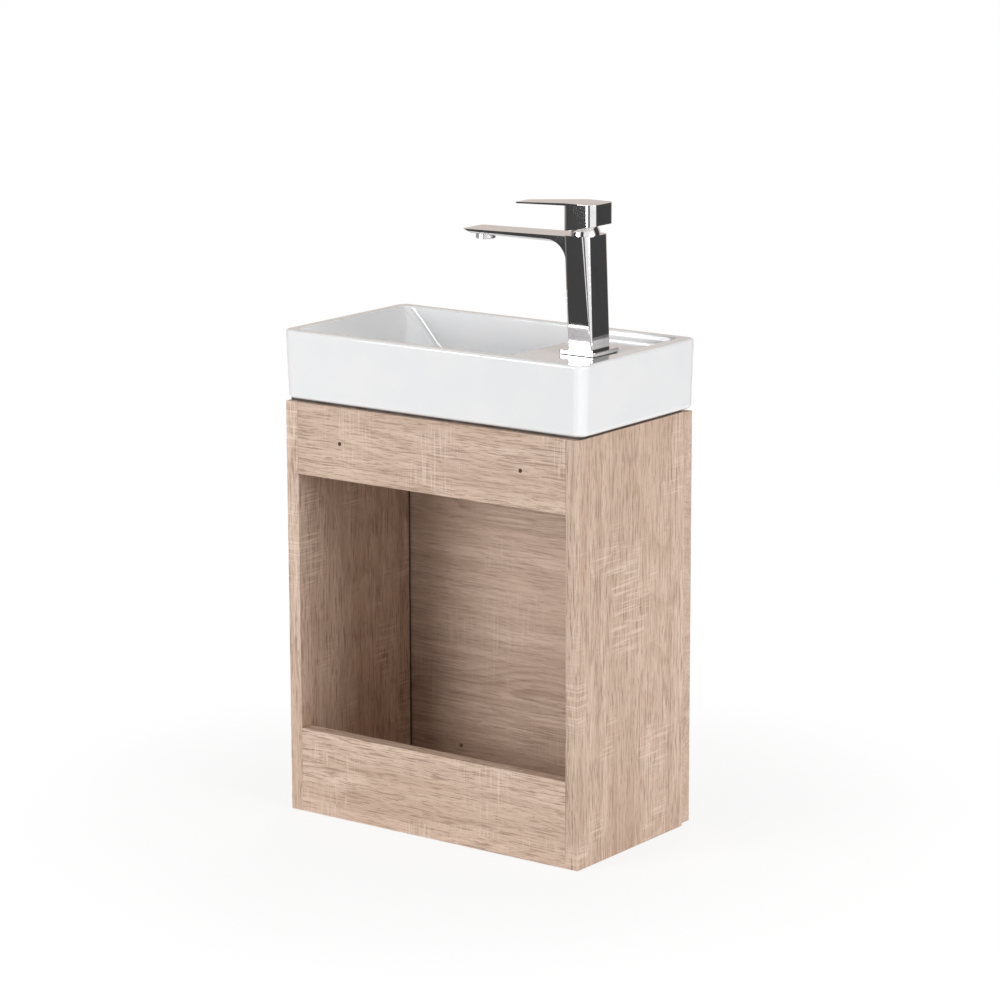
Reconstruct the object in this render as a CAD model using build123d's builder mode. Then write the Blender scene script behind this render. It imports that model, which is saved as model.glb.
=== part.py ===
from build123d import *
import os

# Wall-hung sink cabinet with a ceramic basin and a mixer tap.
# Millimetres, Z up, the front looks along -Y, the wall side is +Y.

cabinet_width = 400
cabinet_height = 476
carcass_depth = 204
board = 16
rail_height = 82
front_rail_height = 60

basin_overhang = 5.5
basin_depth = 222
basin_height = 78
seal_height = 2.5
tap_inset = 69.5
tap_head_shift = 5
waste_inset = 145.5

wall_hole_spacing = 248
wall_hole_radius = 2.5
wall_hole_drop = 41
handle_hole_spacing = 224
handle_hole_radius = 2.5
handle_hole_z = 41

door_reveal = 2
door_gap = 1.5
hinge_inset = 90

half_width = cabinet_width / 2
inner_half = half_width - board
basin_width = cabinet_width + 2 * basin_overhang
basin_half = basin_width / 2
tap_x = -basin_half + tap_inset
tap_head_x = tap_x + tap_head_shift
waste_x = basin_half - waste_inset
back_y = basin_depth / 2
front_y = back_y - carcass_depth
mid_y = (back_y + front_y) / 2
basin_z = cabinet_height + seal_height
rim_z = basin_z + basin_height

fit = 0.05
loose = 0.2

# Joinery of the boards: wood dowels, and bolts drawn in by cam discs.

dowel_radius = 4
dowel_length = 30
dowel_in_panel = 10
cam_radius = 7.4
cam_depth = 12
cam_reach = 24
bolt_radius = 3
bolt_in_panel = 11
bolt_head_radius = 3.4

bottom_dowel_inset = 30
bottom_cam_inset = 62
bottom_dowel_ys = (front_y + bottom_dowel_inset, back_y - bottom_dowel_inset)
bottom_cam_ys = (front_y + bottom_cam_inset, back_y - bottom_cam_inset)
back_rail_y = back_y - board / 2
front_rail_y = front_y + board / 2
back_top_z = cabinet_height - rail_height
back_low_z = board
front_top_z = cabinet_height - front_rail_height
rail_dowel_lift = 20
rail_cam_lift = 54
front_dowel_lift = 14
front_cam_lift = 40

dowel_spots = [(y, board / 2) for y in bottom_dowel_ys]
dowel_spots.append((back_rail_y, back_top_z + rail_dowel_lift))
dowel_spots.append((back_rail_y, back_low_z + rail_dowel_lift))
dowel_spots.append((front_rail_y, front_top_z + front_dowel_lift))

bottom_cam_spots = [(y, board / 2) for y in bottom_cam_ys]
back_cam_spots = [(back_rail_y, back_top_z + rail_cam_lift), (back_rail_y, back_low_z + rail_cam_lift)]
front_cam_spots = [(front_rail_y, front_top_z + front_cam_lift)]
cam_spots = bottom_cam_spots + back_cam_spots + front_cam_spots

# The dowel and bolt holes of every joint, seen along X, cut the same way in panels and boards.

with BuildPart() as dowel_bores:
    for side in (-1, 1):
        with BuildSketch(Plane.YZ.offset(side * (inner_half + dowel_in_panel + 1))):
            with Locations(*dowel_spots):
                Circle(dowel_radius + fit)
        extrude(amount=-side * (dowel_length + 2))

with BuildPart() as bolt_bores:
    for side in (-1, 1):
        with BuildSketch(Plane.YZ.offset(side * (inner_half + bolt_in_panel + 0.5))):
            with Locations(*cam_spots):
                Circle(bolt_radius + fit)
        extrude(amount=-side * (bolt_in_panel + cam_reach))
        with BuildSketch(Plane.YZ.offset(side * (inner_half - cam_reach + cam_radius))):
            with Locations(*cam_spots):
                Circle(bolt_head_radius + loose)
        extrude(amount=-side * (cam_radius + 4))

cam_x = inner_half - cam_reach

with BuildPart() as cam_pockets:
    for side in (-1, 1):
        with BuildSketch(Plane.XY):
            with Locations(*[(side * cam_x, y) for y in bottom_cam_ys]):
                Circle(cam_radius + fit)
        extrude(amount=cam_depth + fit)
        with BuildSketch(Plane.XZ.offset(-(back_y - board))):
            with Locations(*[(side * cam_x, z) for y, z in back_cam_spots]):
                Circle(cam_radius + fit)
        extrude(amount=-(cam_depth + fit))
        with BuildSketch(Plane.XZ.offset(-(front_y + board))):
            with Locations(*[(side * cam_x, z) for y, z in front_cam_spots]):
                Circle(cam_radius + fit)
        extrude(amount=cam_depth + fit)

# Concealed hinges at the -X side: two per door, each drawn round its own middle height.

hinge_spots = [(0, 0, hinge_inset), (0, 0, cabinet_height - hinge_inset)]
door_half = half_width - door_reveal
door_inner_y = front_y - door_gap
door_outer_y = door_inner_y - board

cup_inset = 22.5
cup_x = -door_half + cup_inset
cup_radius = 17.4
cup_depth = 12.3
pocket_half_width = 15.3
pocket_half_height = 7.5
pocket_depth = 11.7
wing_thickness = 1
wing_reach = 28
wing_half_width = 6
wing_shift = 9.5
cup_screw_rise = 22.5
cup_screw_radius = 1.7
cup_screw_head = 3.4
cup_screw_length = 13

arm_pin_outer = (-inner_half + 34, door_inner_y + 5.8)
arm_pin_inner = (-inner_half + 20, door_inner_y - 6)
cup_pin_outer = (cup_x - 8.27, door_inner_y - 2)
cup_pin_inner = (cup_x - 9.52, door_inner_y - 8.13)
pin_radius = 1
float_pin_radius = 0.8
link_half = 1.5
link_low = 1
link_high = 4.6
flange_low = 5.5
flange_high = 7.1
eye_radius = 2.6
slot_half = 0.7
slot_radius = 1.65
slot_wall = 0.6
slot_shift = (-0.66, 0.02)

plate_y = front_y + 37
plate_screw_rise = 16
plate_screw_radius = 2.9
plate_screw_head = 4.4
plate_screw_length = 13
plate_thickness = 2
plate_half_depth = 8
plate_reach = 22
rib_half_height = 5.3
rib_rise = 22.4
rib_top_x = -inner_half + rib_rise
web_thickness = 1.6
rib_front_y = plate_y - 12
rib_back_y = plate_y + 26
arm_screw_y = plate_y + 14
arm_screw_radius = 2.9
arm_screw_head = 4.8
arm_screw_head_height = 2.6
arm_screw_length = 10

# Side panels.

with BuildPart() as side_panel_left:
    with Locations((-half_width + board / 2, mid_y, cabinet_height / 2)):
        Box(board, carcass_depth, cabinet_height)
    add(dowel_bores.part, mode=Mode.SUBTRACT)
    add(bolt_bores.part, mode=Mode.SUBTRACT)
    for spot in hinge_spots:
        for rise in (-plate_screw_rise, plate_screw_rise):
            with BuildSketch(Plane.YZ.offset(-inner_half)):
                with Locations((plate_y, spot[2] + rise)):
                    Circle(plate_screw_radius + fit)
            extrude(amount=-(plate_screw_length - plate_thickness + 0.5), mode=Mode.SUBTRACT)
side_panel_left.part.label = "side_panel_left"

with BuildPart() as side_panel_right:
    with Locations((half_width - board / 2, mid_y, cabinet_height / 2)):
        Box(board, carcass_depth, cabinet_height)
    add(dowel_bores.part, mode=Mode.SUBTRACT)
    add(bolt_bores.part, mode=Mode.SUBTRACT)
side_panel_right.part.label = "side_panel_right"

# Boards between the side panels.

with BuildPart() as bottom_board:
    with Locations((0, mid_y, board / 2)):
        Box(2 * inner_half, carcass_depth, board)
    add(dowel_bores.part, mode=Mode.SUBTRACT)
    add(bolt_bores.part, mode=Mode.SUBTRACT)
    add(cam_pockets.part, mode=Mode.SUBTRACT)
bottom_board.part.label = "bottom_board"

with BuildPart() as back_top_rail:
    with Locations((0, back_rail_y, back_top_z + rail_height / 2)):
        Box(2 * inner_half, board, rail_height)
    with BuildSketch(Plane.XZ.offset(-back_y)):
        with Locations((0, cabinet_height - wall_hole_drop)):
            with GridLocations(wall_hole_spacing, 0, 2, 1):
                Circle(wall_hole_radius)
    extrude(amount=board, mode=Mode.SUBTRACT)
    add(dowel_bores.part, mode=Mode.SUBTRACT)
    add(bolt_bores.part, mode=Mode.SUBTRACT)
    add(cam_pockets.part, mode=Mode.SUBTRACT)
back_top_rail.part.label = "back_top_rail"

with BuildPart() as back_bottom_rail:
    with Locations((0, back_rail_y, back_low_z + rail_height / 2)):
        Box(2 * inner_half, board, rail_height)
    add(dowel_bores.part, mode=Mode.SUBTRACT)
    add(bolt_bores.part, mode=Mode.SUBTRACT)
    add(cam_pockets.part, mode=Mode.SUBTRACT)
back_bottom_rail.part.label = "back_bottom_rail"

with BuildPart() as front_top_rail:
    with Locations((0, front_rail_y, front_top_z + front_rail_height / 2)):
        Box(2 * inner_half, board, front_rail_height)
    add(dowel_bores.part, mode=Mode.SUBTRACT)
    add(bolt_bores.part, mode=Mode.SUBTRACT)
    add(cam_pockets.part, mode=Mode.SUBTRACT)
front_top_rail.part.label = "front_top_rail"

# Dowels: bevelled pegs across every joint.

with BuildPart() as dowels:
    for side in (-1, 1):
        with BuildSketch(Plane.YZ.offset(side * (inner_half + dowel_in_panel))):
            with Locations(*dowel_spots):
                Circle(dowel_radius)
        extrude(amount=-side * dowel_length)
    chamfer(dowels.edges().filter_by(GeomType.CIRCLE), length=0.8)
dowels.part.label = "dowels"

# Cam bolts: a threaded end in the panel, a shank in the board, a head in the cam.

with BuildPart() as cam_bolts:
    for side in (-1, 1):
        with BuildSketch(Plane.YZ.offset(side * (inner_half + bolt_in_panel))):
            with Locations(*cam_spots):
                Circle(bolt_radius)
        extrude(amount=-side * (bolt_in_panel + 2))
        with BuildSketch(Plane.YZ.offset(side * (inner_half - 2))):
            with Locations(*cam_spots):
                Circle(bolt_radius - 0.8)
        extrude(amount=-side * (cam_reach - 4))
        with BuildSketch(Plane.YZ.offset(side * (cam_x + 2))):
            with Locations(*cam_spots):
                Circle(bolt_head_radius)
        extrude(amount=-side * 2.6)
cam_bolts.part.label = "cam_bolts"

# Cam discs: round, with a mouth that takes the bolt's head and a cross recess on the open face.

with BuildPart() as cam_lock:
    with BuildSketch():
        Circle(cam_radius)
    extrude(amount=cam_depth)
    with BuildSketch(Plane.XY.offset(board / 2 - bolt_head_radius - loose)):
        with Locations((cam_radius / 2, 0)):
            Rectangle(cam_radius, 2 * (bolt_head_radius + loose))
        Circle(bolt_head_radius + loose)
    extrude(amount=cam_depth, mode=Mode.SUBTRACT)
    with BuildSketch():
        Rectangle(6.6, 1.4)
        Rectangle(1.4, 6.6)
    extrude(amount=2, mode=Mode.SUBTRACT)

with BuildPart() as cam_locks:
    for side in (-1, 1):
        turn = 0 if side == 1 else 180
        for y in bottom_cam_ys:
            with Locations(Location((side * cam_x, y, 0), (0, 0, turn))):
                add(cam_lock.part)
        for y, z in back_cam_spots:
            with Locations(Location((side * cam_x, back_y - board, z), (-90, 0, turn))):
                add(cam_lock.part)
        for y, z in front_cam_spots:
            with Locations(Location((side * cam_x, front_y + board, z), (90, 0, -turn))):
                add(cam_lock.part)
cam_locks.part.label = "cam_locks"

# Door: overlay leaf with the cup pockets and the bare handle holes.

with BuildPart() as door:
    with Locations((0, (door_inner_y + door_outer_y) / 2, cabinet_height / 2)):
        Box(2 * door_half, board, cabinet_height - 2 * door_reveal)
    with BuildSketch(Plane.XZ.offset(-door_inner_y)):
        with Locations(*[(cup_x, spot[2]) for spot in hinge_spots]):
            Circle(cup_radius + fit)
    extrude(amount=cup_depth + 0.1, mode=Mode.SUBTRACT)
    with BuildSketch(Plane.XZ.offset(-door_inner_y)):
        for spot in hinge_spots:
            with Locations((cup_x + wing_shift, spot[2])):
                with GridLocations(0, 2 * cup_screw_rise, 1, 2):
                    Circle(cup_screw_radius + fit)
    extrude(amount=cup_screw_length, mode=Mode.SUBTRACT)
    with BuildSketch(Plane.XZ.offset(-door_inner_y)):
        with Locations((0, handle_hole_z)):
            with GridLocations(handle_hole_spacing, 0, 2, 1):
                Circle(handle_hole_radius)
    extrude(amount=board, mode=Mode.SUBTRACT)
door.part.label = "door"

# Soft pads on the door's free side, resting on the side panel's front edge.

with BuildPart() as door_bumpers:
    with BuildSketch(Plane.XZ.offset(-door_inner_y)):
        with Locations((half_width - board / 2, 22), (half_width - board / 2, cabinet_height - 22)):
            Circle(4)
    extrude(amount=-door_gap)
    chamfer(door_bumpers.edges().group_by(Axis.Y)[-1], length=0.4)
door_bumpers.part.label = "door_bumpers"

# Hinge cup: a round pot with a slot-shaped mouth and two flat wings for its screws.

with BuildPart() as hinge_cup:
    with BuildSketch(Plane.XZ.offset(-door_inner_y)):
        with Locations((cup_x, 0)):
            Circle(cup_radius)
    extrude(amount=cup_depth)
    for side in (-1, 1):
        with BuildSketch(Plane.XZ.offset(-door_inner_y)):
            with Locations((cup_x + wing_shift / 2, side * (pocket_half_height + wing_reach) / 2)):
                RectangleRounded(2 * wing_half_width + wing_shift, wing_reach - pocket_half_height, 3)
        extrude(amount=-wing_thickness)
    with BuildSketch(Plane.XZ.offset(-door_inner_y - wing_thickness)):
        with Locations((cup_x, 0)):
            Rectangle(2 * pocket_half_width, 2 * pocket_half_height)
    extrude(amount=pocket_depth + wing_thickness, mode=Mode.SUBTRACT)
    with BuildSketch(Plane.XZ.offset(-door_inner_y - wing_thickness)):
        with Locations((cup_x + wing_shift, 0)):
            with GridLocations(0, 2 * cup_screw_rise, 1, 2):
                Circle(cup_screw_radius + fit)
    extrude(amount=2 * wing_thickness, mode=Mode.SUBTRACT)
    with BuildSketch(Plane.XY.offset(0.5)):
        with Locations(cup_pin_outer):
            Circle(pin_radius)
    extrude(amount=pocket_half_height, mode=Mode.SUBTRACT)
    with BuildSketch(Plane.XY.offset(-0.5)):
        with Locations(cup_pin_inner):
            Circle(float_pin_radius)
    extrude(amount=-pocket_half_height - 1, mode=Mode.SUBTRACT)

with BuildPart() as hinge_cups:
    with Locations(*hinge_spots):
        add(hinge_cup.part)
hinge_cups.part.label = "hinge_cups"

# Short pins across the cup, one for each link, each in its own layer.

with BuildPart() as cup_pin_pair:
    with BuildSketch(Plane.XY.offset(0.5)):
        with Locations(cup_pin_outer):
            Circle(pin_radius)
    extrude(amount=pocket_half_height)
    with BuildSketch(Plane.XY.offset(-0.5)):
        with Locations(cup_pin_inner):
            Circle(float_pin_radius)
    extrude(amount=-pocket_half_height - 1)

with BuildPart() as cup_pins:
    with Locations(*hinge_spots):
        add(cup_pin_pair.part)
cup_pins.part.label = "cup_pins"

with BuildPart() as arm_pin_pair:
    with BuildSketch(Plane.XY.offset(0.5)):
        with Locations(arm_pin_outer):
            Circle(pin_radius)
    extrude(amount=flange_high - 0.5)
    with BuildSketch(Plane.XY.offset(-0.5)):
        with Locations(arm_pin_inner):
            Circle(pin_radius)
    extrude(amount=-flange_high + 0.5)

with BuildPart() as arm_pins:
    with Locations(*hinge_spots):
        add(arm_pin_pair.part)
arm_pins.part.label = "arm_pins"

# Outer link: a flat bar with an eye on each pin.

with BuildPart() as outer_link:
    with BuildSketch(Plane.XY.offset(link_low)):
        with BuildLine():
            Line(arm_pin_outer, cup_pin_outer)
        trace(line_width=2 * link_half)
        with Locations(arm_pin_outer, cup_pin_outer):
            Circle(eye_radius)
        with Locations(arm_pin_outer, cup_pin_outer):
            Circle(pin_radius + fit, mode=Mode.SUBTRACT)
    extrude(amount=link_high - link_low)

with BuildPart() as outer_links:
    with Locations(*hinge_spots):
        add(outer_link.part)
outer_links.part.label = "outer_links"

# Inner link: a cranked bar one layer lower, its cup end slotted so that the pin can float.

slot_middle = (cup_pin_inner[0] + slot_shift[0], cup_pin_inner[1] + slot_shift[1])
crank_near = (arm_pin_inner[0] - 4.8, arm_pin_inner[1] - 2.3)
crank_far = (arm_pin_inner[0] - 11.7, arm_pin_inner[1] - 3.2)

with BuildPart() as inner_link:
    with BuildSketch(Plane.XY.offset(-link_low)):
        with BuildLine():
            Polyline(arm_pin_inner, crank_near, crank_far, slot_middle)
        trace(line_width=2 * link_half)
        with Locations(arm_pin_inner):
            Circle(eye_radius)
        with Locations(slot_middle):
            SlotCenterToCenter(2 * slot_half, 2 * (slot_radius + slot_wall))
        with Locations(slot_middle):
            SlotCenterToCenter(2 * slot_half, 2 * slot_radius, mode=Mode.SUBTRACT)
        with Locations(arm_pin_inner):
            Circle(pin_radius + fit, mode=Mode.SUBTRACT)
    extrude(amount=-(link_high - link_low))

with BuildPart() as inner_links:
    with Locations(*hinge_spots):
        add(inner_link.part)
inner_links.part.label = "inner_links"

# Hinge arm: a bent channel that carries both links in front and straddles the plate's rib behind.

web_x = rib_top_x + web_thickness
arm_knee = (web_x, rib_front_y)
arm_front = (arm_pin_outer[0] + 4.8, arm_pin_outer[1] + 2.7)
arm_nose = 3.1
neck_half = 2.7
neck_top_y = door_inner_y + 1.2

with BuildPart() as hinge_arm:
    for side in (-1, 1):
        with BuildSketch(Plane.XY.offset(side * flange_low)):
            with BuildLine():
                Polyline(
                    (web_x, rib_back_y),
                    arm_knee,
                    arm_front,
                    (arm_pin_outer[0] + arm_nose, arm_pin_outer[1]),
                    (arm_pin_outer[0], arm_pin_outer[1] - arm_nose),
                    (arm_pin_inner[0] + neck_half, neck_top_y),
                    (arm_pin_inner[0] + neck_half, arm_pin_inner[1]),
                    (arm_pin_inner[0] - neck_half, arm_pin_inner[1]),
                    (arm_pin_inner[0] - neck_half, arm_pin_inner[1] + 15),
                    (rib_top_x - 8, rib_front_y - 4),
                    (rib_top_x - 8, rib_back_y),
                    close=True,
                )
            make_face()
            with Locations(arm_pin_outer):
                Circle(arm_nose)
            with Locations(arm_pin_inner):
                Circle(neck_half)
        extrude(amount=side * (flange_high - flange_low))
    with BuildSketch(Plane.XY.offset(-flange_high)):
        with BuildLine():
            Polyline(
                (web_x, rib_back_y),
                arm_knee,
                arm_front,
                (arm_front[0] - 1.24, arm_front[1] - 1.02),
                (rib_top_x, rib_front_y - 0.8),
                (rib_top_x, rib_back_y),
                close=True,
            )
        make_face()
    extrude(amount=2 * flange_high)
    with BuildSketch(Plane.YZ.offset(rib_top_x)):
        with Locations((arm_screw_y, 0)):
            Circle(arm_screw_radius + fit)
    extrude(amount=2 * web_thickness, mode=Mode.SUBTRACT)
    add(arm_pin_pair.part, mode=Mode.SUBTRACT)

with BuildPart() as hinge_arms:
    with Locations(*hinge_spots):
        add(hinge_arm.part)
hinge_arms.part.label = "hinge_arms"

# Mounting plate: a rib on two wings, screwed to the side panel.

with BuildPart() as hinge_plate:
    with BuildSketch(Plane.YZ.offset(-inner_half)):
        with Locations((plate_y, 0)):
            RectangleRounded(2 * plate_half_depth, 2 * plate_reach, 3)
    extrude(amount=plate_thickness)
    with BuildSketch(Plane.YZ.offset(-inner_half)):
        with Locations(((rib_front_y + rib_back_y) / 2, 0)):
            Rectangle(rib_back_y - rib_front_y, 2 * rib_half_height)
    extrude(amount=rib_top_x + inner_half)
    with BuildSketch(Plane.YZ.offset(rib_top_x)):
        with Locations((arm_screw_y, 0)):
            Circle(arm_screw_radius + fit)
    extrude(amount=-arm_screw_length, mode=Mode.SUBTRACT)
    for rise in (-plate_screw_rise, plate_screw_rise):
        with Locations(Location((-inner_half, plate_y, rise), (0, 90, 0))):
            Cone(
                plate_screw_radius + fit,
                plate_screw_head + fit,
                plate_thickness,
                align=(Align.CENTER, Align.CENTER, Align.MIN),
                mode=Mode.SUBTRACT,
            )

with BuildPart() as hinge_plates:
    with Locations(*hinge_spots):
        add(hinge_plate.part)
hinge_plates.part.label = "hinge_plates"

# Screws: countersunk ones for cups and plates, a cheese head on each arm.

with BuildPart() as cup_screws:
    for spot in hinge_spots:
        with BuildSketch(Plane.XZ.offset(-door_inner_y - wing_thickness)):
            with Locations((cup_x + wing_shift, spot[2])):
                with GridLocations(0, 2 * cup_screw_rise, 1, 2):
                    Circle(cup_screw_radius)
        extrude(amount=cup_screw_length)
        with BuildSketch(Plane.XZ.offset(-door_inner_y - wing_thickness)):
            with Locations((cup_x + wing_shift, spot[2])):
                with GridLocations(0, 2 * cup_screw_rise, 1, 2):
                    Circle(cup_screw_head)
        extrude(amount=-1.6, taper=20)
        with BuildSketch(Plane.XZ.offset(-door_inner_y - wing_thickness - 0.6)):
            with Locations((cup_x + wing_shift, spot[2])):
                with GridLocations(0, 2 * cup_screw_rise, 1, 2):
                    Rectangle(3.2, 0.7)
                    Rectangle(0.7, 3.2)
        extrude(amount=-2, mode=Mode.SUBTRACT)
cup_screws.part.label = "cup_screws"

with BuildPart() as plate_screws:
    for spot in hinge_spots:
        for rise in (-plate_screw_rise, plate_screw_rise):
            with Locations(Location((-inner_half, plate_y, spot[2] + rise), (0, 90, 0))):
                Cone(
                    plate_screw_radius,
                    plate_screw_head,
                    plate_thickness,
                    align=(Align.CENTER, Align.CENTER, Align.MIN),
                )
                Cylinder(
                    plate_screw_radius,
                    plate_screw_length - plate_thickness,
                    align=(Align.CENTER, Align.CENTER, Align.MAX),
                )
            with BuildSketch(Plane.YZ.offset(-inner_half + 0.8)):
                with Locations((plate_y, spot[2] + rise)):
                    Rectangle(4.4, 0.9)
                    Rectangle(0.9, 4.4)
            extrude(amount=plate_thickness, mode=Mode.SUBTRACT)
plate_screws.part.label = "plate_screws"

with BuildPart() as arm_screws:
    for spot in hinge_spots:
        with BuildSketch(Plane.YZ.offset(web_x)):
            with Locations((arm_screw_y, spot[2])):
                Circle(arm_screw_radius)
        extrude(amount=-(arm_screw_length - 1))
        with BuildSketch(Plane.YZ.offset(web_x)):
            with Locations((arm_screw_y, spot[2])):
                Circle(arm_screw_head)
        extrude(amount=arm_screw_head_height)
        with BuildSketch(Plane.YZ.offset(web_x + arm_screw_head_height)):
            with Locations((arm_screw_y, spot[2])):
                Rectangle(5.4, 1.1)
                Rectangle(1.1, 5.4)
        extrude(amount=-1.6, mode=Mode.SUBTRACT)
arm_screws.part.label = "arm_screws"

# Sealing bead between the carcass and the basin, open at the front.

seal_width = 5
seal_inset = 7.5
seal_outer_x = basin_half - seal_inset
seal_back_y = back_y - seal_inset + 0.5

with BuildPart() as basin_seal:
    with BuildSketch(Plane.XY.offset(cabinet_height)):
        with Locations((0, (seal_back_y + front_y + 3) / 2)):
            Rectangle(2 * seal_outer_x, seal_back_y - front_y - 3)
        with Locations((0, (seal_back_y + front_y + 3) / 2 - seal_width)):
            Rectangle(
                2 * (seal_outer_x - seal_width),
                seal_back_y - front_y - 3,
                mode=Mode.SUBTRACT,
            )
    extrude(amount=seal_height)
basin_seal.part.label = "basin_seal"

# Basin: outside block with a little draft, a low tap ledge at -X and a bowl with a ramp at +X.

draft = 2
corner_radius = 13
bowl_wall = 12
bowl_half_depth = basin_depth / 2 - bowl_wall
ledge_drop = 8
ledge_z = rim_z - ledge_drop
ledge_under_z = ledge_z - 9
ledge_margin = 18.5
ledge_length = 112
ledge_left = -basin_half + ledge_margin
ledge_right = ledge_left + ledge_length
bowl_end_wall = 12.5
bowl_right = basin_half - bowl_end_wall
slope_run = 55
slope_foot_x = ledge_right + slope_run
ramp_foot_inset = 43
ramp_foot_rise = 33.5
ramp_knee_inset = 23
ramp_knee_rise = 55.5
ramp_foot = (bowl_right - ramp_foot_inset, basin_z + ramp_foot_rise)
ramp_knee = (bowl_right - ramp_knee_inset, basin_z + ramp_knee_rise)
floor_end_gap = 12
floor_end_x = ramp_foot[0] - floor_end_gap
under_slope_gap = 13
under_slope_x = slope_foot_x - under_slope_gap
under_ledge_gap = 17
ramp_wall = 10
ramp_under_gap = 5.5
floor_rise = 24.5
drain_rise = 21.5
under_rise = 11.5
floor_z = basin_z + floor_rise
drain_z = basin_z + drain_rise
under_z = basin_z + under_rise
bowl_corner = 9
bowl_rim_radius = 2.4
skirt = 11
waste_hole_radius = 23
tap_hole_radius = 17.5
drain_recess_radius = 33
drain_recess_z = drain_z - 1
above = rim_z + 10


def nearest(vertices, x, z):
    return vertices.sort_by_distance((x, z, 0))[0]


def side_edges(part, half_depth, top_z):
    found = []
    for edge in part.edges():
        middle = edge.center()
        if abs(abs(middle.Y) - half_depth) < 0.01 and middle.Z < top_z - 1:
            found.append(edge)
    return found


with BuildPart() as bowl_core:
    with BuildSketch(Plane.XZ) as bowl_profile:
        with BuildLine():
            Polyline(
                (ledge_right - 20, above),
                (ledge_right - 20, ledge_z),
                (ledge_right, ledge_z),
                (slope_foot_x, floor_z),
                (waste_x, drain_z),
                (floor_end_x, floor_z),
                ramp_foot,
                ramp_knee,
                (bowl_right, rim_z),
                (bowl_right, above),
                close=True,
            )
        make_face()
        fillet(nearest(bowl_profile.vertices(), ledge_right, ledge_z), radius=6)
        fillet(nearest(bowl_profile.vertices(), slope_foot_x, floor_z), radius=26)
        fillet(nearest(bowl_profile.vertices(), floor_end_x, floor_z), radius=16)
        fillet(nearest(bowl_profile.vertices(), ramp_foot[0], ramp_foot[1]), radius=12)
    extrude(amount=bowl_half_depth, both=True)
    fillet(side_edges(bowl_core, bowl_half_depth, above), radius=bowl_corner)

with BuildPart() as ledge_core:
    with BuildSketch(Plane.XY.offset(ledge_z)):
        with Locations(((ledge_left + ledge_right) / 2, 0)):
            Rectangle(ledge_right - ledge_left, 2 * bowl_half_depth)
    extrude(amount=above - ledge_z)
    fillet(ledge_core.edges().filter_by(Axis.Z).group_by(Axis.X)[0], radius=bowl_corner)
    fillet(ledge_core.faces().sort_by(Axis.Z)[0].edges(), radius=3)

with BuildPart() as under_core:
    with BuildSketch(Plane.XZ) as under_profile:
        with BuildLine():
            Polyline(
                (-basin_half + draft + skirt, basin_z - 1),
                (-basin_half + draft + skirt, ledge_under_z),
                (ledge_right - under_ledge_gap, ledge_under_z),
                (under_slope_x, under_z),
                (ramp_foot[0] + 6, under_z),
                (ramp_foot[0] + 12, ramp_foot[1] - 3.5),
                (ramp_knee[0] + ramp_wall, ramp_knee[1] - ramp_under_gap),
                (basin_half - draft - skirt, ramp_knee[1] - ramp_under_gap),
                (basin_half - draft - skirt, basin_z - 1),
                close=True,
            )
        make_face()
        fillet(nearest(under_profile.vertices(), under_slope_x, under_z), radius=20)
    extrude(amount=basin_depth / 2 - draft - skirt, both=True)

with BuildPart() as basin:
    with BuildSketch(Plane.XY.offset(basin_z)):
        RectangleRounded(basin_width - 2 * draft, basin_depth - 2 * draft, corner_radius)
    with BuildSketch(Plane.XY.offset(rim_z)):
        RectangleRounded(basin_width, basin_depth, corner_radius)
    loft()
    fillet(basin.faces().sort_by(Axis.Z)[-1].edges(), radius=3)
    fillet(basin.faces().sort_by(Axis.Z)[0].edges(), radius=5)
    add(ledge_core.part, mode=Mode.SUBTRACT)
    add(bowl_core.part, mode=Mode.SUBTRACT)
    rim_edges = basin.faces().sort_by(Axis.Z)[-1].inner_wires().edges()
    fillet(rim_edges, radius=bowl_rim_radius)
    add(under_core.part, mode=Mode.SUBTRACT)
    with BuildSketch(Plane.XY.offset(drain_recess_z)):
        with Locations((waste_x, 0)):
            Circle(drain_recess_radius)
    extrude(amount=20, mode=Mode.SUBTRACT)
    with BuildSketch(Plane.XY.offset(basin_z)):
        with Locations((waste_x, 0)):
            Circle(waste_hole_radius)
    extrude(amount=40, mode=Mode.SUBTRACT)
    with BuildSketch(Plane.XY.offset(ledge_z)):
        with Locations((tap_x, 0)):
            Circle(tap_hole_radius)
    extrude(amount=-20, mode=Mode.SUBTRACT)
basin.part.label = "basin"

# Waste: a flanged tube through the drain hole, two seals, a back nut and a push plug.

tube_radius = 20.95
tube_inner = 18
tube_drop = 61.5
tube_bottom = cabinet_height - tube_drop
relief_drop = 6
relief_z = cabinet_height - relief_drop
relief_height = 3
flange_radius = 31.5
flange_thickness = 2.5
top_seal_thickness = 1.5
flange_z = drain_recess_z + top_seal_thickness
flange_top = flange_z + flange_thickness
bottom_seal_thickness = 4
backnut_height = 9
backnut_radius = 28
hub_z = cabinet_height - 24
hub_height = 26
hub_radius = 8
cartridge_radius = 6
stem_radius = 3
plug_radius = 30
plug_seal_thickness = 1.2
plug_thickness = 3.4
plug_crown = 190

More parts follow.
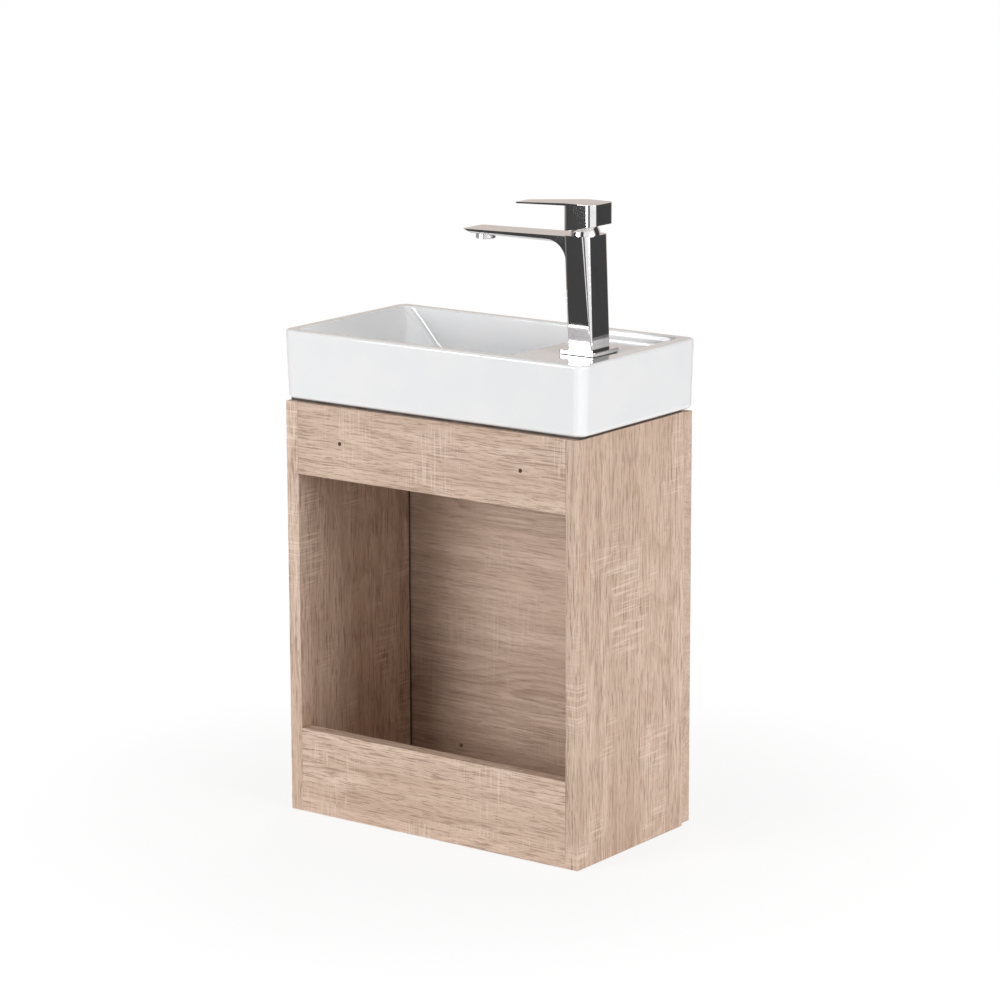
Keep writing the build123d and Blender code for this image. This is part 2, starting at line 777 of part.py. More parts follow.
with BuildPart() as waste_body:
    with BuildSketch(Plane.XY.offset(tube_bottom)):
        with Locations((waste_x, 0)):
            Circle(tube_radius)
    extrude(amount=flange_z - tube_bottom)
    with BuildSketch(Plane.XY.offset(flange_z)):
        with Locations((waste_x, 0)):
            Circle(flange_radius)
    extrude(amount=flange_thickness)
    fillet(waste_body.edges().group_by(Axis.Z)[-1], radius=1)
    with BuildSketch(Plane.XY.offset(tube_bottom)):
        with Locations((waste_x, 0)):
            Circle(tube_inner)
    extrude(amount=flange_top - tube_bottom, mode=Mode.SUBTRACT)
    chamfer(waste_body.edges().group_by(Axis.Z)[-1].sort_by(SortBy.LENGTH)[0], length=2)
    chamfer(waste_body.edges().group_by(Axis.Z)[0].sort_by(SortBy.LENGTH)[-1], length=1)
    with BuildSketch(Plane.XY.offset(relief_z)):
        with Locations((waste_x, 0)):
            Circle(tube_radius + 1)
            Circle(tube_radius - 0.8, mode=Mode.SUBTRACT)
    extrude(amount=relief_height, mode=Mode.SUBTRACT)
    with BuildSketch(Plane.XY.offset(hub_z)):
        with Locations((waste_x, 0)):
            Circle(hub_radius)
            with PolarLocations((tube_inner + hub_radius) / 2, 3):
                Rectangle(tube_inner - hub_radius + 3, 3)
    extrude(amount=hub_height)
    with BuildSketch(Plane.XY.offset(hub_z)):
        with Locations((waste_x, 0)):
            Circle(cartridge_radius + fit)
    extrude(amount=hub_height, mode=Mode.SUBTRACT)
waste_body.part.label = "waste_body"

with BuildPart() as waste_top_seal:
    with BuildSketch(Plane.XY.offset(drain_recess_z)):
        with Locations((waste_x, 0)):
            Circle(flange_radius - 1)
            Circle(tube_radius + fit, mode=Mode.SUBTRACT)
    extrude(amount=top_seal_thickness)
waste_top_seal.part.label = "waste_top_seal"

with BuildPart() as waste_bottom_seal:
    with BuildSketch(Plane.XY.offset(under_z - bottom_seal_thickness)):
        with Locations((waste_x, 0)):
            Circle(backnut_radius + 1)
            Circle(tube_radius + fit, mode=Mode.SUBTRACT)
    extrude(amount=bottom_seal_thickness)
waste_bottom_seal.part.label = "waste_bottom_seal"

with BuildPart() as waste_backnut:
    with BuildSketch(Plane.XY.offset(under_z - bottom_seal_thickness)):
        with Locations((waste_x, 0)):
            Circle(backnut_radius)
            with PolarLocations(backnut_radius, 6):
                Rectangle(4, 9)
            Circle(tube_radius + fit, mode=Mode.SUBTRACT)
    extrude(amount=-backnut_height)
waste_backnut.part.label = "waste_backnut"

with BuildPart() as waste_cartridge:
    with BuildSketch(Plane.XY.offset(hub_z - 3)):
        with Locations((waste_x, 0)):
            Circle(cartridge_radius)
    extrude(amount=hub_height + 3)
    with BuildSketch(Plane.XY.offset(hub_z + hub_height)):
        with Locations((waste_x, 0)):
            Circle(hub_radius)
    extrude(amount=2)
    with BuildSketch(Plane.XY.offset(hub_z)):
        with Locations((waste_x, 0)):
            Circle(stem_radius + 0.1)
    extrude(amount=hub_height + 2, mode=Mode.SUBTRACT)
waste_cartridge.part.label = "waste_cartridge"

plug_seal_z = flange_top
plug_z = plug_seal_z + plug_seal_thickness
plug_top = plug_z + plug_thickness

with BuildPart() as waste_plug:
    with BuildSketch(Plane.XY.offset(plug_z)):
        with Locations((waste_x, 0)):
            Circle(plug_radius)
    extrude(amount=plug_thickness)
    with Locations((waste_x, 0, plug_top - plug_crown)):
        Sphere(plug_crown, mode=Mode.INTERSECT)
    with BuildSketch(Plane.XY.offset(hub_z + 6)):
        with Locations((waste_x, 0)):
            Circle(stem_radius)
    extrude(amount=plug_z - hub_z - 5)
waste_plug.part.label = "waste_plug"

with BuildPart() as plug_seal:
    with BuildSketch(Plane.XY.offset(plug_seal_z)):
        with Locations((waste_x, 0)):
            Circle(plug_radius - 2)
            Circle(tube_inner + 4, mode=Mode.SUBTRACT)
    extrude(amount=plug_seal_thickness)
plug_seal.part.label = "plug_seal"

# Tap: gasket and base plate on the ledge, a column that widens upward, a flat spout.

gasket_thickness = 1
plate_height = 4
tap_plate_size = 48
gasket_size = 46
plate_top_z = ledge_z + gasket_thickness + plate_height
column_height = 124.5
column_top_z = plate_top_z + column_height
column_bottom = (32, 35)
column_top = (34, 42)
spout_half_width = 19.5
spout_reach = 155
spout_top_root = column_top_z - 0.8
spout_top_tip = column_top_z - 4
spout_tip_x = tap_head_x + spout_reach
spout_under_z = column_top_z - 9.2
spout_root_x = tap_head_x + 16.1
spout_root_z = column_top_z - 38
cartridge_bore = 13.1
cartridge_z = column_top_z - 35
aerator_x = spout_tip_x - 21
aerator_neck = 9.25
aerator_radius = 11
aerator_z = spout_under_z - 6
inlet_radius = 4.5
inlet_spread = 8
inlet_x = tap_x + 5
stud_x = tap_x - 9
stud_radius = 3.95
stud_hole = 4
stud_bottom = ledge_under_z - 40
stud_top = plate_top_z + 14

with BuildPart() as tap_gasket:
    with BuildSketch(Plane.XY.offset(ledge_z)):
        with Locations((tap_x, 0)):
            RectangleRounded(gasket_size, gasket_size, 3)
            Circle(tap_hole_radius, mode=Mode.SUBTRACT)
    extrude(amount=gasket_thickness)
tap_gasket.part.label = "tap_gasket"

with BuildPart() as tap_base_plate:
    with BuildSketch(Plane.XY.offset(ledge_z + gasket_thickness)):
        with Locations((tap_x, 0)):
            RectangleRounded(tap_plate_size, tap_plate_size, 3)
    extrude(amount=plate_height)
    fillet(tap_base_plate.edges().group_by(Axis.Z)[-1], radius=0.8)
    with BuildSketch(Plane.XY.offset(ledge_z)):
        with Locations((tap_x, 0)):
            Circle(14.5)
    extrude(amount=2 * plate_height, mode=Mode.SUBTRACT)
tap_base_plate.part.label = "tap_base_plate"

with BuildPart() as spout:
    with BuildSketch(Plane.XZ) as spout_profile:
        with BuildLine():
            Polyline(
                (tap_head_x, spout_top_root),
                (spout_tip_x - 2, spout_top_tip),
                (spout_tip_x, spout_top_tip - 1.4),
                (spout_tip_x - 10, spout_under_z),
                (spout_root_x, spout_under_z),
                (spout_root_x - 1.5, spout_root_z),
                (tap_head_x, spout_root_z),
                close=True,
            )
        make_face()
        fillet(nearest(spout_profile.vertices(), spout_root_x, spout_under_z), radius=22)
    extrude(amount=spout_half_width, both=True)
    for side in (-1, 1):
        flank = spout.faces().sort_by(Axis.Y)[0 if side == -1 else -1]
        low_edges = []
        for edge in flank.edges():
            middle = edge.center()
            if middle.Z < spout_under_z + 2.5 and middle.X > spout_root_x - 0.1:
                low_edges.append(edge)
        chamfer(low_edges, length=3.2, length2=7, reference=flank)

with BuildPart() as tap_body:
    with BuildSketch(Plane.XY.offset(plate_top_z)):
        with Locations((tap_x, 0)):
            RectangleRounded(column_bottom[0], column_bottom[1], 2)
    with BuildSketch(Plane.XY.offset(column_top_z)):
        with Locations((tap_head_x, 0)):
            RectangleRounded(column_top[0], column_top[1], 8)
    loft()
    add(spout.part)
    with BuildSketch(Plane.XY.offset(cartridge_z)):
        with Locations((tap_head_x, 0)):
            Circle(cartridge_bore)
    extrude(amount=60, mode=Mode.SUBTRACT)
    with BuildSketch(Plane.XY.offset(spout_under_z - 1)):
        with Locations((aerator_x, 0)):
            Circle(aerator_neck + fit)
    extrude(amount=4.8, mode=Mode.SUBTRACT)
    with BuildSketch(Plane.XY.offset(spout_under_z + 1.6)):
        with Locations(((aerator_x + tap_head_x) / 2, 0)):
            Rectangle(aerator_x - tap_head_x, 14)
    extrude(amount=2.2, mode=Mode.SUBTRACT)
    with BuildSketch(Plane.XY.offset(plate_top_z)):
        with Locations((inlet_x, -inlet_spread), (inlet_x, inlet_spread)):
            Circle(inlet_radius)
    extrude(amount=12, mode=Mode.SUBTRACT)
    with BuildSketch(Plane.XY.offset(plate_top_z)):
        with Locations((inlet_x, -inlet_spread), (inlet_x, inlet_spread)):
            Circle(2.6)
    extrude(amount=cartridge_z + 1 - plate_top_z, mode=Mode.SUBTRACT)
    with BuildSketch(Plane.XY.offset(plate_top_z)):
        with Locations((stud_x, 0)):
            Circle(stud_hole)
    extrude(amount=stud_top - plate_top_z + 1, mode=Mode.SUBTRACT)
tap_body.part.label = "tap_body"

# Fixing under the ledge: a threaded stud, a horseshoe of rubber, one of steel, and a nut.

washer_radius = 22
washer_mouth = 17
rubber_thickness = 3
steel_thickness = 2
nut_height = 8
nut_flats = 13

with BuildPart() as tap_stud:
    with BuildSketch(Plane.XY.offset(stud_bottom)):
        with Locations((stud_x, 0)):
            Circle(stud_radius)
    extrude(amount=stud_top - stud_bottom)
    chamfer(tap_stud.edges().filter_by(GeomType.CIRCLE), length=0.8)
tap_stud.part.label = "tap_stud"

with BuildPart() as stud_washer_rubber:
    with BuildSketch(Plane.XY.offset(ledge_under_z)):
        with Locations((tap_x, 0)):
            Circle(washer_radius)
        with Locations((tap_x - 1.5 + washer_mouth, 0)):
            Rectangle(2 * washer_mouth, 2 * washer_mouth, mode=Mode.SUBTRACT)
        with Locations((stud_x, 0)):
            Circle(stud_hole + loose, mode=Mode.SUBTRACT)
    extrude(amount=-rubber_thickness)
stud_washer_rubber.part.label = "stud_washer_rubber"

with BuildPart() as stud_washer_plate:
    with BuildSketch(Plane.XY.offset(ledge_under_z - rubber_thickness)):
        with Locations((tap_x, 0)):
            Circle(washer_radius - 0.6)
        with Locations((tap_x - 1.5 + washer_mouth, 0)):
            Rectangle(2 * washer_mouth, 2 * washer_mouth, mode=Mode.SUBTRACT)
        with Locations((stud_x, 0)):
            Circle(stud_hole + loose, mode=Mode.SUBTRACT)
    extrude(amount=-steel_thickness)
stud_washer_plate.part.label = "stud_washer_plate"

nut_z = ledge_under_z - rubber_thickness - steel_thickness

with BuildPart() as stud_nut:
    with BuildSketch(Plane.XY.offset(nut_z)):
        with Locations((stud_x, 0)):
            RegularPolygon(nut_flats / 2, 6, major_radius=False)
            Circle(stud_hole, mode=Mode.SUBTRACT)
    extrude(amount=-nut_height)
stud_nut.part.label = "stud_nut"

# Mixing cartridge: body, ring nut, round cap, and the carrier that turns inside it.

body_radius = 12.5
body_top = cartridge_z + 28.5
seat_z = cartridge_z + 21
carrier_flange = 9.9
carrier_radius = 8.5
carrier_top = column_top_z + 6
nut_bore = 9
nut_top = body_top + 5
pivot_z = column_top_z - 1
cap_radius = 16.7
cap_wall = 1.2
cap_opening = 11.5
stem_half = 3.5
stem_top = pivot_z + 27

with BuildPart() as cartridge_body:
    with BuildSketch(Plane.XY.offset(cartridge_z)):
        with Locations((tap_head_x, 0)):
            Circle(body_radius)
    extrude(amount=body_top - cartridge_z)
    with BuildSketch(Plane.XY.offset(seat_z)):
        with Locations((tap_head_x, 0)):
            Circle(carrier_flange + 0.1)
    extrude(amount=body_top - seat_z, mode=Mode.SUBTRACT)
    with BuildSketch(Plane.XY.offset(cartridge_z)):
        with Locations((inlet_x, -inlet_spread + 3), (inlet_x, inlet_spread - 3)):
            Circle(2.4)
    extrude(amount=12, mode=Mode.SUBTRACT)
cartridge_body.part.label = "cartridge_body"

with BuildPart() as cartridge_nut:
    with BuildSketch(Plane.XY.offset(body_top)):
        with Locations((tap_head_x, 0)):
            Circle(cartridge_bore - fit)
            Circle(nut_bore, mode=Mode.SUBTRACT)
    extrude(amount=nut_top - body_top)
cartridge_nut.part.label = "cartridge_nut"

with BuildPart() as dome_cap:
    with BuildSketch(Plane.XY.offset(column_top_z)):
        with Locations((tap_head_x, 0)):
            Circle(30)
    extrude(amount=30)
    with Locations((tap_head_x, 0, pivot_z)):
        Sphere(cap_radius, mode=Mode.INTERSECT)
        Sphere(cap_radius - cap_wall, mode=Mode.SUBTRACT)
    with BuildSketch(Plane.XY.offset(column_top_z)):
        with Locations((tap_head_x, 0)):
            Circle(cap_opening)
    extrude(amount=30, mode=Mode.SUBTRACT)
dome_cap.part.label = "dome_cap"

with BuildPart() as cartridge_carrier:
    with BuildSketch(Plane.XY.offset(seat_z)):
        with Locations((tap_head_x, 0)):
            Circle(carrier_flange)
    extrude(amount=body_top - seat_z - 0.1)
    with BuildSketch(Plane.XY.offset(seat_z)):
        with Locations((tap_head_x, 0)):
            Circle(carrier_radius)
    extrude(amount=carrier_top - seat_z)
    with BuildSketch(Plane.XY.offset(pivot_z - stem_half - 0.8)):
        with Locations((tap_head_x - 4, 0)):
            Rectangle(2 * stem_half + 8.8, 2 * stem_half + 0.4)
    extrude(amount=carrier_top, mode=Mode.SUBTRACT)
    with BuildSketch(Plane.XZ.offset(-carrier_radius + 1.5)):
        with Locations((tap_head_x, pivot_z)):
            Circle(1)
    extrude(amount=2 * carrier_radius - 3)
cartridge_carrier.part.label = "cartridge_carrier"

# Lever stem: a square peg on a round knuckle that swings about the carrier's pin.

with BuildPart() as lever_stem:
    with BuildSketch(Plane.XZ):
        with Locations((tap_head_x, (pivot_z + stem_top) / 2)):
            Rectangle(2 * stem_half, stem_top - pivot_z)
        with Locations((tap_head_x, pivot_z)):
            Circle(stem_half)
            Circle(1.06, mode=Mode.SUBTRACT)
    extrude(amount=stem_half, both=True)
    chamfer(lever_stem.faces().sort_by(Axis.Z)[-1].edges(), length=0.5)
lever_stem.part.label = "lever_stem"

# Lever: a square head over the cap, hollow inside, with a thin plate that tapers to the tip.

head_left = tap_head_x - 24.5
head_right = tap_head_x + 17.5
head_half_width = 21
head_top = pivot_z + 36
head_low_right = pivot_z + 5
head_low_left = pivot_z + 13
head_wall = 3
head_roof = head_top - head_wall
boss_radius = 7
lever_reach = 85
lever_tip_x = tap_head_x + lever_reach
lever_tip_half = 12.5
lever_tip_top = head_top - 5
lever_tip_thickness = 1.5
lever_root_thickness = 2.5
grub_z = pivot_z + 22
grub_radius = 2.45
grub_length = 8
head_x = (head_left + head_right) / 2

with BuildPart() as lever_plate:
    with BuildSketch(Plane.XZ):
        with BuildLine():
            Polyline(
                (head_x, head_top - 0.2),
                (head_right - 4, head_top - 0.2),
                (lever_tip_x, lever_tip_top),
                (lever_tip_x, lever_tip_top - lever_tip_thickness),
                (head_right - 4, head_top - 0.2 - lever_root_thickness),
                (head_x, head_top - 0.2 - lever_root_thickness),
                close=True,
            )
        make_face()
    extrude(amount=head_half_width, both=True)
    with BuildSketch() as lever_plan:
        with BuildLine():
            Polyline(
                (head_x, -head_half_width),
                (head_right - 6, -head_half_width),
                (lever_tip_x, -lever_tip_half),
                (lever_tip_x, lever_tip_half),
                (head_right - 6, head_half_width),
                (head_x, head_half_width),
                close=True,
            )
        make_face()
        fillet(lever_plan.vertices().group_by(Axis.X)[-1], radius=3)
    extrude(amount=2 * head_top, mode=Mode.INTERSECT)

with BuildPart() as tap_lever:
    with BuildSketch(Plane.XY.offset(head_low_right)):
        with Locations((head_x, 0)):
            RectangleRounded(head_right - head_left, 2 * head_half_width, 9)
    extrude(amount=head_top - head_low_right)
    with BuildSketch(Plane.XZ):
        with BuildLine():
            Polyline(
                (head_right + 1, head_low_right - 0.2),
                (head_left - 1, head_low_left + 0.2),
                (head_left - 1, head_low_right - 5),
                (head_right + 1, head_low_right - 5),
                close=True,
            )
        make_face()
    extrude(amount=head_half_width + 1, both=True, mode=Mode.SUBTRACT)
    fillet(tap_lever.faces().sort_by(Axis.Z)[-1].edges(), radius=0.6)
    add(lever_plate.part)
    with Locations((tap_head_x, 0, pivot_z)):
        Sphere(cap_radius + 0.4, mode=Mode.SUBTRACT)
    with BuildSketch(Plane.XY.offset(head_low_left)):
        with Locations((head_x, 0)):
            RectangleRounded(head_right - head_left - 2 * head_wall, 2 * (head_half_width - head_wall), 6)
        with Locations((tap_head_x, 0)):
            Circle(boss_radius, mode=Mode.SUBTRACT)
        with Locations(((tap_head_x + head_right) / 2, 0)):
            Rectangle(head_right - tap_head_x, 9, mode=Mode.SUBTRACT)
    extrude(amount=head_roof - head_low_left, mode=Mode.SUBTRACT)
    with BuildSketch(Plane.XY.offset(head_low_right)):
        with Locations((tap_head_x, 0)):
            Rectangle(2 * stem_half + 0.1, 2 * stem_half + 0.1)
    extrude(amount=stem_top - head_low_right + 0.1, mode=Mode.SUBTRACT)
    with BuildSketch(Plane.YZ.offset(tap_head_x)):
        with Locations((0, grub_z)):
            Circle(grub_radius + fit)
    extrude(amount=30, mode=Mode.SUBTRACT)
tap_lever.part.label = "tap_lever"

grub_inner_x = tap_head_x + stem_half

with BuildPart() as lever_grub_screw:
    with BuildSketch(Plane.YZ.offset(grub_inner_x)):
        with Locations((0, grub_z)):
            Circle(grub_radius)
    extrude(amount=grub_length)
    with BuildSketch(Plane.YZ.offset(grub_inner_x + grub_length)):
        with Locations((0, grub_z)):
            RegularPolygon(1.25, 6, major_radius=False)
    extrude(amount=-3, mode=Mode.SUBTRACT)
lever_grub_screw.part.label = "lever_grub_screw"

# Jet former: a ring screwed into the spout with a slotted insert inside.

insert_radius = 8
insert_wall = 1.2

with BuildPart() as aerator_housing:
    with BuildSketch(Plane.XY.offset(aerator_z)):
        with Locations((aerator_x, 0)):
            Circle(aerator_radius)
    extrude(amount=spout_under_z - aerator_z)
    fillet(aerator_housing.edges().group_by(Axis.Z)[0], radius=0.8)
    with BuildSketch(Plane.XY.offset(spout_under_z)):
        with Locations((aerator_x, 0)):
            Circle(aerator_neck)
    extrude(amount=3)
    with BuildSketch(Plane.XY.offset(aerator_z)):
        with Locations((aerator_x, 0)):
            Circle(insert_radius + fit)
    extrude(amount=20, mode=Mode.SUBTRACT)
aerator_housing.part.label = "aerator_housing"

with BuildPart() as aerator_insert:
    with BuildSketch(Plane.XY.offset(aerator_z + 0.8)):
        with Locations((aerator_x, 0)):
            Circle(insert_radius)
    extrude(amount=6)
    with BuildSketch(Plane.XY.offset(aerator_z)):
        with Locations((aerator_x, 0)):
            with GridLocations(2.6, 2.6, 5, 5):
                Rectangle(1.7, 1.7)
            Circle(insert_radius - insert_wall, mode=Mode.INTERSECT)
    extrude(amount=3, mode=Mode.SUBTRACT)
aerator_insert.part.label = "aerator_insert"

# Export.

pieces = [
    side_panel_left,
    side_panel_right,
    bottom_board,
    back_top_rail,
    back_bottom_rail,
    front_top_rail,
    dowels,
    cam_bolts,
    cam_locks,
    door,
    door_bumpers,
    hinge_cups,
    cup_pins,
    outer_links,
    inner_links,
    arm_pins,
    hinge_arms,
    hinge_plates,
    cup_screws,
    plate_screws,
    arm_screws,
    basin_seal,
    basin,
    waste_body,
    waste_top_seal,
    waste_bottom_seal,
    waste_backnut,
    waste_cartridge,
    waste_plug,
    plug_seal,
    tap_gasket,
    tap_base_plate,
    tap_body,
    tap_stud,
    stud_washer_rubber,
    stud_washer_plate,
    stud_nut,
    cartridge_body,
    cartridge_nut,
    dome_cap,
    cartridge_carrier,
    lever_stem,
    tap_lever,
    lever_grub_screw,
    aerator_housing,
    aerator_insert,
]

os.makedirs("parts", exist_ok=True)
for piece in pieces:
    export_step(piece.part, "parts/" + piece.part.label + ".step")
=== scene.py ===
import logging
import math
from dataclasses import dataclass
from enum import Enum
from typing import Any, Dict, List, Mapping, Optional, Sequence, Tuple, Union

import bpy
from mathutils import Matrix, Vector


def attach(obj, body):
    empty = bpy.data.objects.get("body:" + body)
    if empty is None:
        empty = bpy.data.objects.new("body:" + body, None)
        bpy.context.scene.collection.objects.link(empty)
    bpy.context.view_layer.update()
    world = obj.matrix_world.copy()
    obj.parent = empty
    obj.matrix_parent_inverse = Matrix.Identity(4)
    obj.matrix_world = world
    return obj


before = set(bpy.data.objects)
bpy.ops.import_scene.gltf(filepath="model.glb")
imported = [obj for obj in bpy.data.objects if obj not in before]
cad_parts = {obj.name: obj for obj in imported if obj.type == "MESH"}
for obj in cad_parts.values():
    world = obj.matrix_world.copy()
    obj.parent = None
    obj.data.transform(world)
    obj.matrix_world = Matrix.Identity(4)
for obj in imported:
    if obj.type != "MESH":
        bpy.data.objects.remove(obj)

log = logging.getLogger("sink_cabinet")

Colour = Tuple[float, float, float, float]
Point = Tuple[float, float, float]
Limits = Tuple[float, float]


def srgb(red: float, green: float, blue: float) -> Colour:
    """Turn a colour as read off a picture into the linear one a shader takes.

    Args:
        red: Red from 0 to 255.
        green: Green from 0 to 255.
        blue: Blue from 0 to 255.

    Returns:
        The linear colour with an alpha of 1.
    """
    def line(value: float) -> float:
        """Linear value of one channel."""
        share = value / 255.0
        return share / 12.92 if share <= 0.04045 else ((share + 0.055) / 1.055) ** 2.4

    return (line(red), line(green), line(blue), 1.0)


class Wire:
    """A value on its way through a node tree, with arithmetic that adds Math nodes."""

    def __init__(self, sheet: "NodeSheet", socket: bpy.types.NodeSocket) -> None:
        """Keep the sheet that the value belongs to and the socket it leaves."""
        self.sheet = sheet
        self.socket = socket

    def math(self, operation: str, *others: Union["Wire", float],
             first: Optional[float] = None) -> "Wire":
        """Run a Math node on this value.

        Args:
            operation: The Math node's operation.
            others: The second and third operands.
            first: A number that comes before this value, for the reflected forms.

        Returns:
            The result.
        """
        operands: List[Union[Wire, float]] = [self, *others] if first is None else [first, self]
        settings = {"operation": operation}
        return self.sheet.node("ShaderNodeMath", settings, dict(enumerate(operands)))

    def __add__(self, other: Union["Wire", float]) -> "Wire":
        """Sum."""
        return self.math("ADD", other)

    def __radd__(self, other: float) -> "Wire":
        """Sum with a number first."""
        return self.math("ADD", other)

    def __sub__(self, other: Union["Wire", float]) -> "Wire":
        """Difference."""
        return self.math("SUBTRACT", other)

    def __rsub__(self, other: float) -> "Wire":
        """Difference with a number first."""
        return self.math("SUBTRACT", first=other)

    def __mul__(self, other: Union["Wire", float]) -> "Wire":
        """Product."""
        return self.math("MULTIPLY", other)

    def __rmul__(self, other: float) -> "Wire":
        """Product with a number first."""
        return self.math("MULTIPLY", other)


class NodeSheet:
    """The node tree of a material or of the world while it is being written."""

    def __init__(self, owner: Union[bpy.types.Material, bpy.types.World]) -> None:
        """Empty the owner's node tree."""
        self.owner = owner
        owner.use_nodes = True
        self.tree = owner.node_tree
        self.tree.nodes.clear()

    def node(
        self,
        kind: str,
        settings: Optional[Mapping[str, Any]] = None,
        inputs: Optional[Mapping[Union[str, int], Any]] = None,
        out: Union[str, int] = 0,
    ) -> Wire:
        """Add a node, set it up and connect it.

        Args:
            kind: The node's type.
            settings: Its settings, where "stops" fills a colour ramp with places and colours.
            inputs: Values or wires by socket name or number.
            out: The output that is wanted.

        Returns:
            The wire that leaves that output.
        """
        made = self.tree.nodes.new(kind)
        for key, value in (settings or {}).items():
            if key == "stops":
                ramp = made.color_ramp
                while len(ramp.elements) < len(value):
                    ramp.elements.new(0.5)
                for element, (place, colour) in zip(ramp.elements, value):
                    element.position = place
                    element.color = colour
            else:
                setattr(made, key, value)
        for key, value in (inputs or {}).items():
            if isinstance(value, Wire):
                self.tree.links.new(value.socket, made.inputs[key])
            else:
                made.inputs[key].default_value = value
        return Wire(self, made.outputs[out] if made.outputs else made.inputs[0])

    def noise(
        self,
        scale: Point,
        shift: Point = (0.0, 0.0, 0.0),
        detail: float = 2.0,
        rough: float = 0.5,
        warp: Optional[Wire] = None,
    ) -> Wire:
        """Noise on object coordinates, stretched along the axes.

        Args:
            scale: Cells per metre along X, Y and Z.
            shift: Where the pattern starts.
            detail: Octaves.
            rough: How strongly the finer octaves count.
            warp: A vector that is added to the place.

        Returns:
            The noise value, about 0.5 on average.
        """
        spot = self.node("ShaderNodeTexCoord", out="Object")
        if warp is not None:
            spot = self.node("ShaderNodeVectorMath", {"operation": "ADD"}, {0: spot, 1: warp})
        laid = self.node(
            "ShaderNodeMapping", {}, {"Vector": spot, "Location": shift, "Scale": scale}
        )
        return self.node(
            "ShaderNodeTexNoise",
            {},
            {"Vector": laid, "Scale": 1.0, "Detail": detail, "Roughness": rough},
        )

    def sway(self, scale: Point, shift: Point, reach: Point) -> Wire:
        """A slow wander of the place, as a vector.

        Args:
            scale: Cells per metre along X, Y and Z.
            shift: Where the wander starts.
            reach: How far it carries along each axis, in metres.

        Returns:
            The vector that is added to the place.
        """
        spot = self.node("ShaderNodeTexCoord", out="Object")
        laid = self.node(
            "ShaderNodeMapping", {}, {"Vector": spot, "Location": shift, "Scale": scale}
        )
        drift = self.node(
            "ShaderNodeTexNoise", {}, {"Vector": laid, "Scale": 1.0, "Detail": 1.0}, out="Color"
        )
        even = self.node(
            "ShaderNodeVectorMath", {"operation": "SUBTRACT"}, {0: drift, 1: (0.5, 0.5, 0.5)}
        )
        return self.node("ShaderNodeVectorMath", {"operation": "MULTIPLY"}, {0: even, 1: reach})

    def step(self, value: Wire, low: float, high: float,
             to_low: float = 0.0, to_high: float = 1.0) -> Wire:
        """Take a value smoothly from one number to another between two limits.

        Args:
            value: The value that is read.
            low: Where the change starts.
            high: Where it ends.
            to_low: The result below the lower limit.
            to_high: The result above the upper limit.

        Returns:
            The stepped value.
        """
        return self.node(
            "ShaderNodeMapRange",
            {"interpolation_type": "SMOOTHSTEP"},
            {
                "Value": value,
                "From Min": low,
                "From Max": high,
                "To Min": to_low,
                "To Max": to_high,
            },
        )

    def mix(self, share: Union[Wire, float], one: Union[Wire, Colour],
            two: Union[Wire, Colour]) -> Wire:
        """Mix two colours by a share.

        Args:
            share: How much of the second colour shows.
            one: The first colour.
            two: The second colour.

        Returns:
            The mixed colour.
        """
        return self.node(
            "ShaderNodeMix", {"data_type": "RGBA"}, {0: share, 6: one, 7: two}, out=2
        )

    def axis(self, name: str) -> Wire:
        """One of the object coordinates, X, Y or Z, in metres."""
        spot = self.node("ShaderNodeTexCoord", out="Object")
        return self.node("ShaderNodeSeparateXYZ", {}, {0: spot}, out=name)

    def finish(self, surface: Mapping[str, Any], relief: Optional[Wire] = None,
               depth: float = 0.0002, strength: float = 0.3) -> bpy.types.Material:
        """Close the tree with one principled surface.

        Args:
            surface: Values and wires of the principled shader.
            relief: The height that drives the bump.
            depth: How deep the relief is, in metres.
            strength: How much of the relief shows.

        Returns:
            The finished material.
        """
        inputs: Dict[Union[str, int], Any] = dict(surface)
        if relief is not None:
            inputs["Normal"] = self.node(
                "ShaderNodeBump", {}, {"Height": relief, "Distance": depth, "Strength": strength}
            )
        shader = self.node("ShaderNodeBsdfPrincipled", {}, inputs)
        self.node("ShaderNodeOutputMaterial", {}, {"Surface": shader})
        return self.owner


class Grain(Enum):
    """Which way the wood grain of a board runs."""

    UPRIGHT = "Z"
    ACROSS = "X"

    def scale(self, along: float, over: float) -> Point:
        """Cells per metre, fewer along the grain and more over it."""
        return (over, over, along) if self is Grain.UPRIGHT else (along, over, over)


@dataclass(frozen=True)
class Layer:
    """One noise layer of the foil, with its cells per metre along and over the grain."""

    along: float
    over: float
    detail: float
    rough: float


class FoilNoise(Enum):
    """The noise layers that the oak foil is printed from."""

    WAVE = Layer(4.0, 20.0, 1.0, 0.5)
    FIGURE = Layer(1.5, 7.0, 1.0, 0.4)
    CLOUD = Layer(2.2, 16.0, 3.0, 0.55)
    FIBRE = Layer(13.0, 380.0, 3.0, 0.65)
    STREAK = Layer(24.0, 560.0, 2.0, 0.6)
    SHORT = Layer(60.0, 980.0, 2.0, 0.55)
    CUT = Layer(400.0, 17.0, 2.0, 0.5)
    FINE_CUT = Layer(900.0, 30.0, 1.0, 0.5)
    PATCH = Layer(11.0, 13.0, 2.0, 0.5)
    BAND = Layer(1.1, 75.0, 2.0, 0.5)


@dataclass(frozen=True)
class FoilLimits:
    """Noise values between which each mark of the foil fades in."""

    late_wood: Limits = (0.45, 0.92)
    ring_edge: Limits = (0.92, 1.0)
    pore: Limits = (0.53, 0.63)
    pore_cloud: Limits = (0.30, 0.62)
    speck: Limits = (0.55, 0.66)
    saw: Limits = (0.52, 0.66)
    saw_patch: Limits = (0.50, 0.62)
    fine_saw: Limits = (0.54, 0.70)
    fine_saw_patch: Limits = (0.40, 0.66)
    cloud: Limits = (0.30, 0.70)
    band: Limits = (0.42, 0.66)
    fibre: Limits = (0.40, 0.66)
    gloss: Limits = (0.3, 0.7)


